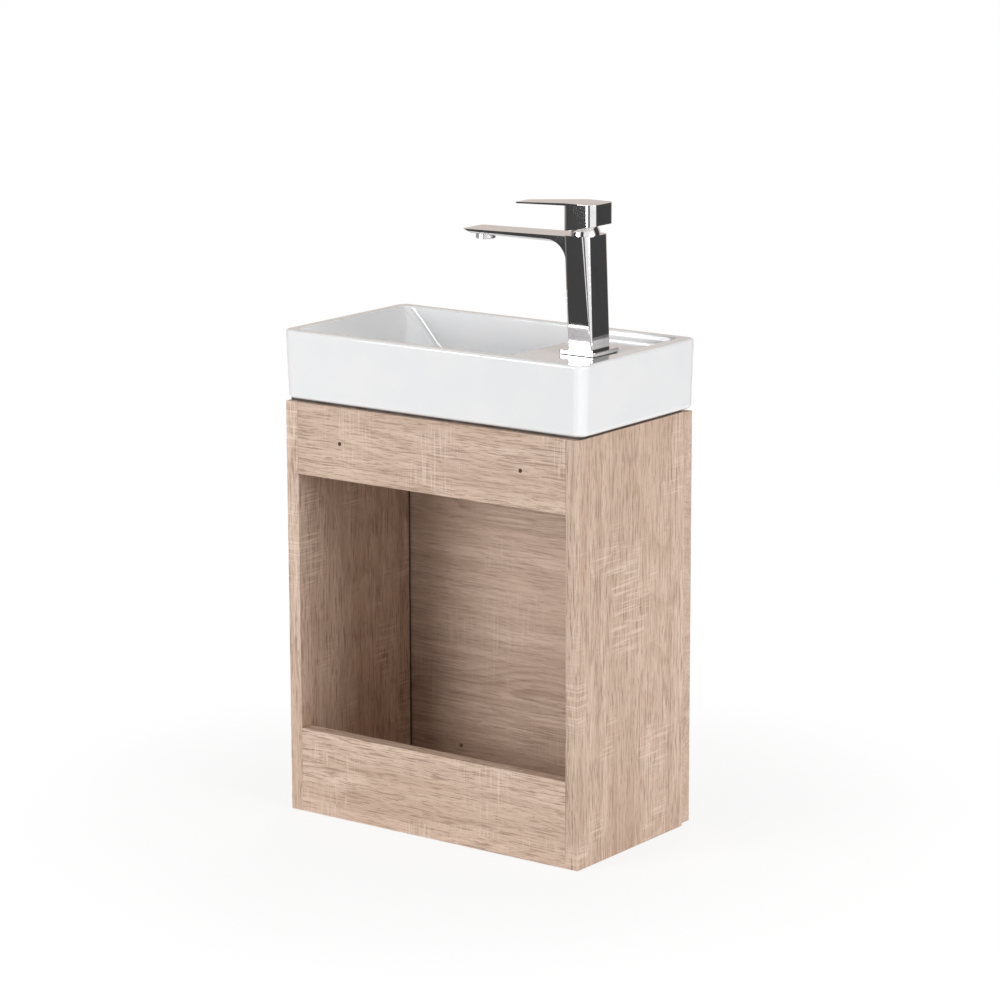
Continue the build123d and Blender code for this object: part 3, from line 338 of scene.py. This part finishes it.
@dataclass(frozen=True)
class Arches:
    """The nested arches of a flat-sawn board, long along X and narrow along Z."""

    along: float = 2.5
    over: float = 19.0
    bend: float = 1.1
    count: float = 7.0
    line: Limits = (0.30, 0.88)
    edge: Limits = (0.88, 1.0)
    fade: Limits = (0.7, 1.7)
    share: float = 0.38

    def mask(self, sheet: NodeSheet, wave: Wire, heart: Tuple[float, float]) -> Wire:
        """Draw the arches round one heart.

        Args:
            sheet: The material that is being written.
            wave: A slow noise that bends the arches.
            heart: Where the arches close, along X and Z in metres.

        Returns:
            How dark the arches are, from 0 to the share.
        """
        along = (sheet.axis("X") - heart[0]) * self.along
        over = (sheet.axis("Z") - heart[1]) * self.over
        far = (along * along + over * over).math("SQRT") + wave * self.bend
        turn = (far * self.count).math("FRACT")
        line = sheet.step(turn, *self.line) * sheet.step(turn, *self.edge, 1.0, 0.0)
        return line * sheet.step(far, *self.fade, self.share, 0.0)


@dataclass(frozen=True)
class OakLaminate:
    """Printed oak foil: broad rings, dark pores along the grain, pale saw marks over it."""

    grain: Grain
    shift: Point
    light: Colour = srgb(219, 195, 177)
    middle: Colour = srgb(209, 183, 164)
    dark: Colour = srgb(181, 153, 133)
    pore: Colour = srgb(134, 105, 87)
    saw: Colour = srgb(234, 214, 198)
    # painted shade: the near-black shadow of the door gap, drawn on the board's front edge
    unglazed_and_gap_shade: Colour = srgb(34.0, 31.0, 36.0)
    ring_count: float = 16.0
    ring_bend: float = 0.35
    ring_share: float = 0.35
    band_share: float = 0.45
    fibre_share: float = 0.45
    pore_share: float = 0.6
    speck_of_pore: float = 0.9
    saw_share: float = 0.42
    fine_of_saw: float = 0.6
    seam_x: Optional[float] = None
    # painted shade: draws the door gap's shadow along the front edge of the board
    gap_shade_front: bool = False
    hearts: Sequence[Tuple[float, float]] = ()
    limits: FoilLimits = FoilLimits()
    arches: Arches = Arches()

    def lay(self, sheet: NodeSheet, part: FoilNoise, start: Point,
            warp: Optional[Wire] = None) -> Wire:
        """Lay one noise layer along this board's grain.

        Args:
            sheet: The material that is being written.
            part: Which layer.
            start: Where it starts, its own for each layer so that no two run in step.
            warp: A vector that is added to the place.

        Returns:
            The layer's value.
        """
        layer = part.value
        scale = self.grain.scale(layer.along, layer.over)
        return sheet.noise(scale, start, layer.detail, layer.rough, warp)

    def material(self, name: str) -> bpy.types.Material:
        """Write the foil's material under this name.

        Args:
            name: The material's name.

        Returns:
            The finished material.
        """
        sheet = NodeSheet(bpy.data.materials.new(name))
        first, second, third = self.shift
        limits = self.limits
        sway = sheet.sway(self.grain.scale(14.0, 24.0), self.shift, self.grain.scale(0.0, 0.0042))
        wave = self.lay(sheet, FoilNoise.WAVE, self.shift)
        figure = self.lay(sheet, FoilNoise.FIGURE, self.shift)
        rings = (figure * self.ring_count + wave * self.ring_bend).math("FRACT")
        late = sheet.step(rings, *limits.late_wood) * sheet.step(rings, *limits.ring_edge, 1.0, 0.0)
        cloud = self.lay(sheet, FoilNoise.CLOUD, (third + 3.0, 1.0, first))
        fibre = self.lay(sheet, FoilNoise.FIBRE, self.shift, sway)
        streak = self.lay(sheet, FoilNoise.STREAK, (2.0, first, 5.0), sway)
        short = self.lay(sheet, FoilNoise.SHORT, (7.0, 4.0, second), sway)
        pores = sheet.step(streak, *limits.pore) * sheet.step(cloud, *limits.pore_cloud, 0.45, 1.0)
        specks = sheet.step(short, *limits.speck)
        cut = self.lay(sheet, FoilNoise.CUT, (1.0, 8.0, third))
        fine_cut = self.lay(sheet, FoilNoise.FINE_CUT, (4.0, second, 2.0))
        patch = self.lay(sheet, FoilNoise.PATCH, (second, 6.0, 9.0))
        saws = sheet.step(cut, *limits.saw) * sheet.step(patch, *limits.saw_patch)
        fine_patch = sheet.step(patch, *limits.fine_saw_patch)
        fine_saws = sheet.step(fine_cut, *limits.fine_saw) * fine_patch
        band = self.lay(sheet, FoilNoise.BAND, (second, 2.0, third), sway)
        tone = sheet.mix(sheet.step(cloud, *limits.cloud), self.middle, self.light)
        tone = sheet.mix(sheet.step(band, *limits.band) * self.band_share, tone, self.dark)
        tone = sheet.mix(late * self.ring_share, tone, self.dark)
        for heart in self.hearts:
            tone = sheet.mix(self.arches.mask(sheet, wave, heart), tone, self.pore)
        tone = sheet.mix(sheet.step(fibre, *limits.fibre) * self.fibre_share, tone, self.dark)
        tone = sheet.mix(pores * self.pore_share, tone, self.pore)
        tone = sheet.mix(specks * (self.speck_of_pore * self.pore_share), tone, self.pore)
        tone = sheet.mix(saws * self.saw_share, tone, self.saw)
        tone = sheet.mix(fine_saws * (self.saw_share * self.fine_of_saw), tone, self.saw)
        tone = self.edges(sheet, tone)
        gloss = sheet.step(fibre, *limits.gloss, 0.46, 0.58) + pores * 0.12
        height = 0.6 - pores * 0.5 - specks * 0.3 + saws * 0.15
        surface = {"Base Color": tone, "Roughness": gloss, "Specular IOR Level": 0.35}
        return sheet.finish(surface, height, 0.00012, 0.35)

    def edges(self, sheet: NodeSheet, tone: Wire) -> Wire:
        """Darken the joint lines where the board has them, and paint the shade of the door gap as a
        dark strip along its front edge.

        Args:
            sheet: The material that is being written.
            tone: The colour so far.

        Returns:
            The colour with the edges.
        """
        if self.seam_x is not None:
            gap = (sheet.axis("X").math("ABSOLUTE") - self.seam_x).math("ABSOLUTE")
            tone = sheet.mix(sheet.step(gap, 0.0002, 0.0009, 0.55, 0.0), tone, self.pore)
        # painted shade of the door gap: a dark strip on the inner face along the board's front
        # edge, beside the door
        if self.gap_shade_front:
            inside = sheet.step(sheet.axis("X"), 0.1842, 0.1846, 1.0, 0.0)
            front = sheet.step(sheet.axis("Y"), -0.0908, -0.0900, 0.92, 0.0) * inside
            tone = sheet.mix(front, tone, self.unglazed_and_gap_shade)
        return tone


@dataclass(frozen=True)
class Beech:
    """Turned beech of the dowels: pale, with short flecks along the peg."""

    light: Colour = srgb(216, 184, 144)
    dark: Colour = srgb(178, 139, 98)
    fleck_cells: Point = (160.0, 900.0, 900.0)
    band_cells: Point = (12.0, 260.0, 260.0)

    def material(self, name: str) -> bpy.types.Material:
        """Write the wood's material under this name."""
        sheet = NodeSheet(bpy.data.materials.new(name))
        fleck = sheet.noise(self.fleck_cells, (3.0, 1.0, 2.0), 2.0, 0.5)
        band = sheet.noise(self.band_cells, (0.0, 5.0, 1.0), 2.0, 0.5)
        tone = sheet.mix(sheet.step(band, 0.35, 0.65), self.light, self.dark)
        tone = sheet.mix(sheet.step(fleck, 0.60, 0.72) * 0.6, tone, self.dark)
        surface = {"Base Color": tone, "Roughness": 0.6 + fleck * 0.2}
        return sheet.finish(surface, fleck, 0.0001, 0.3)


@dataclass(frozen=True)
class GlazedCeramic:
    """Fired white glaze with a faint wave, unglazed and matt on the standing ring."""

    glaze: Colour = srgb(242, 242, 243)
    cool: Colour = srgb(239, 240, 241)
    # own colour of the unglazed standing ring
    unglazed_and_gap_shade: Colour = srgb(214, 207, 195)
    ring_z: float = 0.4789
    wave_cells: Point = (22.0, 22.0, 22.0)
    grit_cells: Point = (900.0, 900.0, 900.0)

    def material(self, name: str) -> bpy.types.Material:
        """Write the glaze's material under this name."""
        sheet = NodeSheet(bpy.data.materials.new(name))
        wave = sheet.noise(self.wave_cells, (1.0, 2.0, 3.0), 1.0, 0.4)
        grit = sheet.noise(self.grit_cells, (5.0, 2.0, 3.0), 2.0, 0.5)
        bare = sheet.step(sheet.axis("Z"), self.ring_z - 0.0002, self.ring_z + 0.0003, 1.0, 0.0)
        tone = sheet.mix(sheet.step(wave, 0.35, 0.65), self.glaze, self.cool)
        tone = sheet.mix(bare, tone, self.unglazed_and_gap_shade)
        gloss = sheet.step(wave, 0.3, 0.7, 0.07, 0.11) + bare * 0.6
        height = wave + grit * bare
        surface = {
            "Base Color": tone,
            "Roughness": gloss,
            "Coat Weight": 1.0 - bare,
            "Coat Roughness": 0.03,
        }
        return sheet.finish(surface, height, 0.0004, 0.05)


@dataclass(frozen=True)
class PlatedMetal:
    """A plated or bare metal with faint polishing lines and handling marks."""

    bright: Colour
    dull: Colour
    smooth: float = 0.05
    matt: float = 0.10
    lines: Point = (60.0, 60.0, 900.0)
    relief: float = 0.05
    mark_cells: Point = (45.0, 45.0, 45.0)

    def material(self, name: str) -> bpy.types.Material:
        """Write the metal's material under this name."""
        sheet = NodeSheet(bpy.data.materials.new(name))
        polish = sheet.noise(self.lines, (4.0, 1.0, 7.0), 2.0, 0.5)
        marks = sheet.noise(self.mark_cells, (8.0, 3.0, 1.0), 3.0, 0.55)
        tone = sheet.mix(sheet.step(marks, 0.45, 0.75), self.bright, self.dull)
        gloss = sheet.step(marks, 0.35, 0.75, self.smooth, self.matt) + polish * (self.matt * 0.2)
        surface = {"Base Color": tone, "Roughness": gloss, "Metallic": 1.0}
        return sheet.finish(surface, polish, 0.00002, self.relief)


@dataclass(frozen=True)
class Moulded:
    """A moulded plastic or rubber: even colour, fine grit, slight clouding."""

    body: Colour
    worn: Colour
    smooth: float = 0.4
    matt: float = 0.55
    grit: float = 1400.0
    relief: float = 0.2
    cloud_cells: Point = (70.0, 70.0, 70.0)

    def material(self, name: str) -> bpy.types.Material:
        """Write the moulded finish under this name."""
        sheet = NodeSheet(bpy.data.materials.new(name))
        cloud = sheet.noise(self.cloud_cells, (2.0, 6.0, 1.0), 3.0, 0.5)
        grit = sheet.noise((self.grit, self.grit, self.grit), (0.0, 0.0, 0.0), 2.0, 0.5)
        tone = sheet.mix(sheet.step(cloud, 0.35, 0.75), self.body, self.worn)
        tone = sheet.mix(sheet.step(grit, 0.58, 0.72) * 0.35, tone, self.worn)
        gloss = sheet.step(cloud, 0.3, 0.7, self.smooth, self.matt)
        return sheet.finish({"Base Color": tone, "Roughness": gloss}, grit, 0.00005, self.relief)


CHROME = PlatedMetal(
    srgb(238, 236, 236), srgb(226, 224, 225), 0.03, 0.07, (40.0, 40.0, 700.0), 0.02
)
SATIN = PlatedMetal(
    srgb(232, 231, 231), srgb(216, 215, 216), 0.30, 0.38, (40.0, 40.0, 900.0), 0.05
)
STEEL = PlatedMetal(
    srgb(196, 196, 194), srgb(166, 165, 162), 0.20, 0.36, (700.0, 60.0, 700.0), 0.2
)
ZINC = PlatedMetal(
    srgb(178, 180, 184), srgb(146, 149, 153), 0.32, 0.5, (500.0, 500.0, 500.0), 0.3
)
BRASS = PlatedMetal(
    srgb(214, 178, 110), srgb(178, 140, 78), 0.16, 0.34, (90.0, 90.0, 900.0), 0.15
)
SCREW_STEEL = PlatedMetal(srgb(184, 184, 181), srgb(150, 149, 146), 0.22, 0.4)
RUBBER = Moulded(srgb(38, 38, 39), srgb(66, 65, 64), 0.55, 0.75)
WHITE_PLASTIC = Moulded(srgb(226, 226, 222), srgb(206, 206, 200), 0.32, 0.45)
GREY_PLASTIC = Moulded(srgb(142, 145, 148), srgb(118, 120, 123), 0.35, 0.5)
SOFT_PAD = Moulded(srgb(206, 206, 202), srgb(180, 179, 174), 0.25, 0.4, 700.0, 0.1)
SEAL_BEAD = Moulded(srgb(74, 66, 61), srgb(50, 44, 41), 0.5, 0.7, 900.0, 0.3)


def dress(node: str, material: bpy.types.Material) -> None:
    """Give a loaded node one material on each of its slots.

    Args:
        node: The node's name.
        material: The finish it takes.
    """
    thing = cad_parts[node]
    if not thing.material_slots:
        thing.data.materials.append(material)
    for slot in thing.material_slots:
        slot.material = material
    log.info("dressed %s with %s", node, material.name)


def clear_selection() -> None:
    """Leave edit mode and select nothing."""
    if bpy.context.object is not None and bpy.context.object.mode != "OBJECT":
        bpy.ops.object.mode_set(mode="OBJECT")
    bpy.ops.object.select_all(action="DESELECT")


def settle(piece: bpy.types.Object, name: str, body: str,
           material: bpy.types.Material) -> bpy.types.Object:
    """Put a finished piece's place into its mesh, name it and let it ride.

    Args:
        piece: The shaped object.
        name: Its name in the model.
        body: The body that carries it.
        material: Its finish.

    Returns:
        The same object.
    """
    clear_selection()
    piece.select_set(True)
    bpy.context.view_layer.objects.active = piece
    bpy.ops.object.transform_apply(location=True, rotation=True, scale=True)
    piece.name = name
    piece.data.name = name
    piece.data.materials.clear()
    piece.data.materials.append(material)
    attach(piece, body)
    log.info("built %s on %s", name, body)
    return piece


@dataclass
class Thread:
    """A screw thread's ridge round an upright axis."""

    name: str
    x: float
    low: float
    high: float
    radius: float
    pitch: float
    crest: float
    body: str = "cabinet"
    steps: int = 48
    half_share: float = 0.34
    sunk: float = 0.0002

    def build(self, slot: str, material: bpy.types.Material) -> bpy.types.Object:
        """Model the ridge from a small wedge that a screw modifier winds up.

        Args:
            slot: The record's material slot; not used.
            material: The ridge's finish.

        Returns:
            The finished ridge.
        """
        clear_selection()
        half = self.pitch * self.half_share
        bpy.ops.mesh.primitive_circle_add(
            vertices=3, radius=half, fill_type="NOTHING", location=(0.0, 0.0, 0.0)
        )
        wedge = bpy.context.object
        profile = [
            (self.radius + self.crest, 0.0, 0.0),
            (self.radius - self.sunk, 0.0, half),
            (self.radius - self.sunk, 0.0, -half),
        ]
        for vertex, place in zip(wedge.data.vertices, profile):
            vertex.co = Vector(place)
        turns = max(1, int((self.high - self.low - 2.0 * half) / self.pitch))
        screw = wedge.modifiers.new("wind", "SCREW")
        screw.angle = math.tau
        screw.screw_offset = self.pitch
        screw.iterations = turns
        screw.steps = self.steps
        screw.render_steps = self.steps
        screw.use_smooth_shade = False
        bpy.ops.object.modifier_apply(modifier=screw.name)
        bpy.ops.object.mode_set(mode="EDIT")
        bpy.ops.mesh.select_all(action="SELECT")
        bpy.ops.mesh.remove_doubles(threshold=1e-6)
        bpy.ops.mesh.select_all(action="DESELECT")
        bpy.ops.mesh.select_non_manifold(extend=False)
        bpy.ops.mesh.fill()
        bpy.ops.mesh.select_all(action="SELECT")
        bpy.ops.mesh.normals_make_consistent(inside=False)
        bpy.ops.object.mode_set(mode="OBJECT")
        wedge.location = (self.x, 0.0, self.low + half)
        return settle(wedge, self.name, self.body, material)


@dataclass
class Carcass:
    """The cabinet's boards with their joinery."""

    inner_half: float = 0.184

    def dress(self) -> None:
        """Give every board its own cut of the oak foil, and the fittings their metals."""
        upright, across, seam = Grain.UPRIGHT, Grain.ACROSS, self.inner_half
        foils = {
            "side_panel_left": ("oak_left", OakLaminate(upright, (0.0, 2.3, 1.1))),
            "side_panel_right": (
                "oak_right",
                # the right board carries the painted shade of the door gap along its front edge
                OakLaminate(upright, (5.2, 0.4, 3.7), saw_share=0.52, gap_shade_front=True),
            ),
            "back_top_rail": ("oak_top", OakLaminate(across, (2.4, 6.1, 0.3), seam_x=seam)),
            "back_bottom_rail": ("oak_low", OakLaminate(across, (7.7, 1.9, 4.4), seam_x=seam)),
            "front_top_rail": ("oak_front", OakLaminate(across, (3.1, 3.3, 8.2))),
            "bottom_board": ("oak_floor", OakLaminate(across, (1.5, 9.1, 2.6))),
        }
        for node, (name, foil) in foils.items():
            dress(node, foil.material(name))
        dress("dowels", Beech().material("beech_pegs"))
        dress("cam_bolts", STEEL.material("bolt_steel"))
        dress("cam_locks", ZINC.material("cam_zinc"))


@dataclass
class DoorLeaf:
    """The door with its stop pads."""

    def dress(self) -> None:
        """Give the leaf a broad cathedral figure and the pads their soft plastic."""
        leaf = OakLaminate(
            Grain.ACROSS,
            (4.35, 5.6, 6.9),
            ring_count=15.0,
            ring_share=0.24,
            pore_share=0.33,
            saw_share=0.22,
            hearts=((0.005, 0.345), (-0.03, 0.115)),
        )
        dress("door", leaf.material("oak_door"))
        dress("door_bumpers", SOFT_PAD.material("pad_plastic"))


@dataclass
class HingePair:
    """The two concealed hinges."""

    plated: Sequence[str] = (
        "hinge_cups", "outer_links", "inner_links", "hinge_arms", "hinge_plates",
    )
    fixings: Sequence[str] = (
        "cup_pins", "arm_pins", "cup_screws", "plate_screws", "arm_screws",
    )

    def dress(self) -> None:
        """Plate the pressed parts and the pins."""
        nickel = STEEL.material("hinge_nickel")
        steel = SCREW_STEEL.material("screw_steel")
        for node in self.plated:
            dress(node, nickel)
        for node in self.fixings:
            dress(node, steel)


@dataclass
class Washbasin:
    """The ceramic basin and the bead that seals it to the carcass."""

    def dress(self) -> None:
        """Glaze the basin and darken the bead."""
        dress("basin", GlazedCeramic().material("basin_glaze"))
        dress("basin_seal", SEAL_BEAD.material("seal_bead"))


@dataclass
class ClickWaste:
    """The waste in the basin's drain hole."""

    x: float = 0.060
    tail_low: float = 0.4157
    tail_high: float = 0.4698
    tail_radius: float = 0.02095
    pitch: float = 0.0021
    crest: float = 0.00022

    def dress(self) -> None:
        """Chrome the waste, and give its seals and core their plastics."""
        chrome = CHROME.material("waste_chrome")
        for node in ("waste_body", "waste_plug", "waste_backnut"):
            dress(node, chrome)
        rubber = RUBBER.material("waste_rubber")
        for node in ("waste_top_seal", "waste_bottom_seal", "plug_seal"):
            dress(node, rubber)
        dress("waste_cartridge", WHITE_PLASTIC.material("waste_core"))

    def build(self) -> None:
        """Model the thread on the tail below the back nut."""
        thread = Thread(
            "waste_thread", self.x, self.tail_low, self.tail_high,
            self.tail_radius, self.pitch, self.crest, steps=64,
        )
        thread.build("chrome", bpy.data.materials["waste_chrome"])


@dataclass
class Mixer:
    """The single-lever mixer and its fixing under the ledge."""

    stud_x: float = -0.145
    stud_low: float = 0.5005
    stud_high: float = 0.5255
    stud_radius: float = 0.00385
    pitch: float = 0.00125
    crest: float = 0.00012

    def dress(self) -> None:
        """Chrome what shows, and give the inside its brass, steel and plastics."""
        chrome = CHROME.material("tap_chrome")
        for node in ("tap_body", "tap_base_plate", "dome_cap", "tap_lever"):
            dress(node, chrome)
        dress("aerator_housing", SATIN.material("jet_ring"))
        steel = STEEL.material("tap_steel")
        for node in ("tap_stud", "stud_washer_plate", "lever_stem", "lever_grub_screw"):
            dress(node, steel)
        brass = BRASS.material("tap_brass")
        for node in ("stud_nut", "cartridge_nut"):
            dress(node, brass)
        rubber = RUBBER.material("tap_rubber")
        for node in ("tap_gasket", "stud_washer_rubber"):
            dress(node, rubber)
        dress("cartridge_body", WHITE_PLASTIC.material("cartridge_white"))
        dress("cartridge_carrier", GREY_PLASTIC.material("cartridge_grey"))
        dress("aerator_insert", WHITE_PLASTIC.material("jet_white"))

    def build(self) -> None:
        """Model the thread on the stud below its nut."""
        thread = Thread(
            "stud_thread", self.stud_x, self.stud_low, self.stud_high,
            self.stud_radius, self.pitch, self.crest, steps=24,
        )
        thread.build("steel", bpy.data.materials["tap_steel"])


WHITE: Colour = (1.0, 1.0, 1.0, 1.0)
BLACK_CARD: Colour = (0.06, 0.06, 0.06, 1.0)
WARM_WALL: Colour = (0.66, 0.59, 0.55, 1.0)
DIM_WALL: Colour = (0.30, 0.28, 0.27, 1.0)
ROOM_BANDS: Sequence[Tuple[float, Colour]] = (
    (0.0, WHITE), (0.05, WHITE),
    (0.08, BLACK_CARD), (0.20, BLACK_CARD),
    (0.24, WARM_WALL), (0.44, WARM_WALL),
    (0.50, DIM_WALL),
    (0.60, BLACK_CARD), (0.685, BLACK_CARD),
    (0.705, WHITE), (0.735, WHITE),
    (0.755, BLACK_CARD), (0.80, BLACK_CARD),
    (0.82, WHITE),
)


@dataclass
class Studio:
    """Floor, light and the camera of the photograph."""

    camera_at: Point = (-2.40865, 3.25314, 1.25174)
    right: Point = (-0.80550534, -0.59258851, 0.0)
    up: Point = (0.12649, -0.17194, 0.97696)
    ahead: Point = (0.57893149, -0.78694136, -0.21345172)
    roll: float = math.radians(-0.175)
    lens: float = 133.32
    sky: float = 0.32
    floor_radius: float = 1.9
    floor_drop: float = 0.0004
    floor_glow: float = 0.8
    floor_fade: Limits = (0.25, 0.75)
    floor_strength: float = 1.02
    light_paint: Colour = srgb(246, 246, 246)
    dark_paint: Colour = srgb(243, 243, 243)
    lamps: Sequence[Tuple[str, Point, Point, float, float]] = (
        ("key", (1.3, 3.1, 1.05), (0.0, 0.0, 0.35), 1.8, 72.0),
        ("side", (-3.4, 0.2, 1.2), (0.0, 0.0, 0.3), 1.8, 76.0),
        ("top", (0.0, 0.2, 3.2), (0.0, 0.0, 0.5), 1.6, 11.0),
        ("front", (1.4, -3.3, 1.1), (0.0, 0.0, 0.4), 2.0, 52.0),
    )

    def shoot(self) -> None:
        """Place the camera as the photograph's stood."""
        lens = bpy.data.cameras.new("camera")
        lens.lens = self.lens
        lens.sensor_width = 36.0
        lens.clip_end = 100.0
        camera = bpy.data.objects.new("camera", lens)
        bpy.context.scene.collection.objects.link(camera)
        turn = (math.cos(self.roll), math.sin(self.roll))
        right, up = Vector(self.right), Vector(self.up)
        side = right * turn[0] + up * turn[1]
        top = up * turn[0] - right * turn[1]
        back = -Vector(self.ahead)
        pose = Matrix((side, top, back)).transposed().to_4x4()
        pose.translation = Vector(self.camera_at)
        camera.matrix_world = pose
        bpy.context.scene.camera = camera

    def floor(self) -> None:
        """Lay a plain pale floor that keeps the shadow."""
        clear_selection()
        bpy.ops.mesh.primitive_circle_add(
            vertices=96,
            radius=self.floor_radius,
            fill_type="NGON",
            location=(0.0, 0.0, -self.floor_drop),
        )
        ground = bpy.context.object
        ground.name = "floor"
        sheet = NodeSheet(bpy.data.materials.new("floor_paint"))
        dust = sheet.noise((3.0, 3.0, 3.0), (1.0, 1.0, 1.0), 2.0, 0.5)
        tone = sheet.mix(sheet.step(dust, 0.3, 0.7), self.light_paint, self.dark_paint)
        paint = sheet.node("ShaderNodeBsdfDiffuse", {}, {"Color": tone})
        seen = sheet.node("ShaderNodeLightPath", out="Is Camera Ray")
        across, deep = sheet.axis("X"), sheet.axis("Y")
        away = (across * across + deep * deep).math("SQRT")
        glow = sheet.node(
            "ShaderNodeEmission", {}, {"Color": WHITE, "Strength": self.floor_strength}
        )
        share = sheet.step(away, *self.floor_fade, self.floor_glow, 1.0) * seen
        both = sheet.node("ShaderNodeMixShader", {}, {0: share, 1: paint, 2: glow})
        sheet.node("ShaderNodeOutputMaterial", {}, {"Surface": both})
        ground.data.materials.append(sheet.owner)

    def light(self) -> None:
        """Hang the soft lamps and fill the room with an even light."""
        for name, spot, aim, size, power in self.lamps:
            lamp = bpy.data.lights.new(name, "AREA")
            lamp.shape = "DISK"
            lamp.size = size
            lamp.energy = power
            holder = bpy.data.objects.new(name, lamp)
            bpy.context.scene.collection.objects.link(holder)
            holder.location = spot
            holder.rotation_euler = (Vector(aim) - Vector(spot)).to_track_quat("-Z", "Y").to_euler()
            holder.visible_glossy = name != "front"
            log.info("hung lamp %s", name)
        self.room()
        bpy.context.scene.view_settings.view_transform = "Standard"

    def room(self) -> None:
        """Write the world: even light, white to the camera, and bands that gloss reflects."""
        world = bpy.data.worlds.new("room")
        bpy.context.scene.world = world
        sheet = NodeSheet(world)
        around = sheet.node("ShaderNodeTexCoord", out="Generated")
        turn = sheet.node("ShaderNodeTexGradient", {"gradient_type": "RADIAL"}, {0: around})
        bands = sheet.node("ShaderNodeValToRGB", {"stops": ROOM_BANDS}, {0: turn})
        even = sheet.node("ShaderNodeBackground", {}, {"Strength": self.sky})
        walls = sheet.node("ShaderNodeBackground", {}, {"Color": bands})
        white = sheet.node("ShaderNodeBackground", {}, {"Color": WHITE})
        gloss = sheet.node("ShaderNodeLightPath", out="Is Glossy Ray")
        seen = sheet.node("ShaderNodeLightPath", out="Is Camera Ray")
        mirrored = sheet.node("ShaderNodeMixShader", {}, {0: gloss, 1: even, 2: walls})
        both = sheet.node("ShaderNodeMixShader", {}, {0: seen, 1: mirrored, 2: white})
        sheet.node("ShaderNodeOutputWorld", {}, {"Surface": both})


def main() -> None:
    """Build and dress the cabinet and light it."""
    logging.basicConfig(level=logging.INFO, format="%(message)s")
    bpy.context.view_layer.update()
    Carcass().dress()
    DoorLeaf().dress()
    HingePair().dress()
    Washbasin().dress()
    waste = ClickWaste()
    waste.dress()
    waste.build()
    mixer = Mixer()
    mixer.dress()
    mixer.build()
    studio = Studio()
    studio.floor()
    studio.light()
    studio.shoot()


if __name__ == "__main__":
    main()
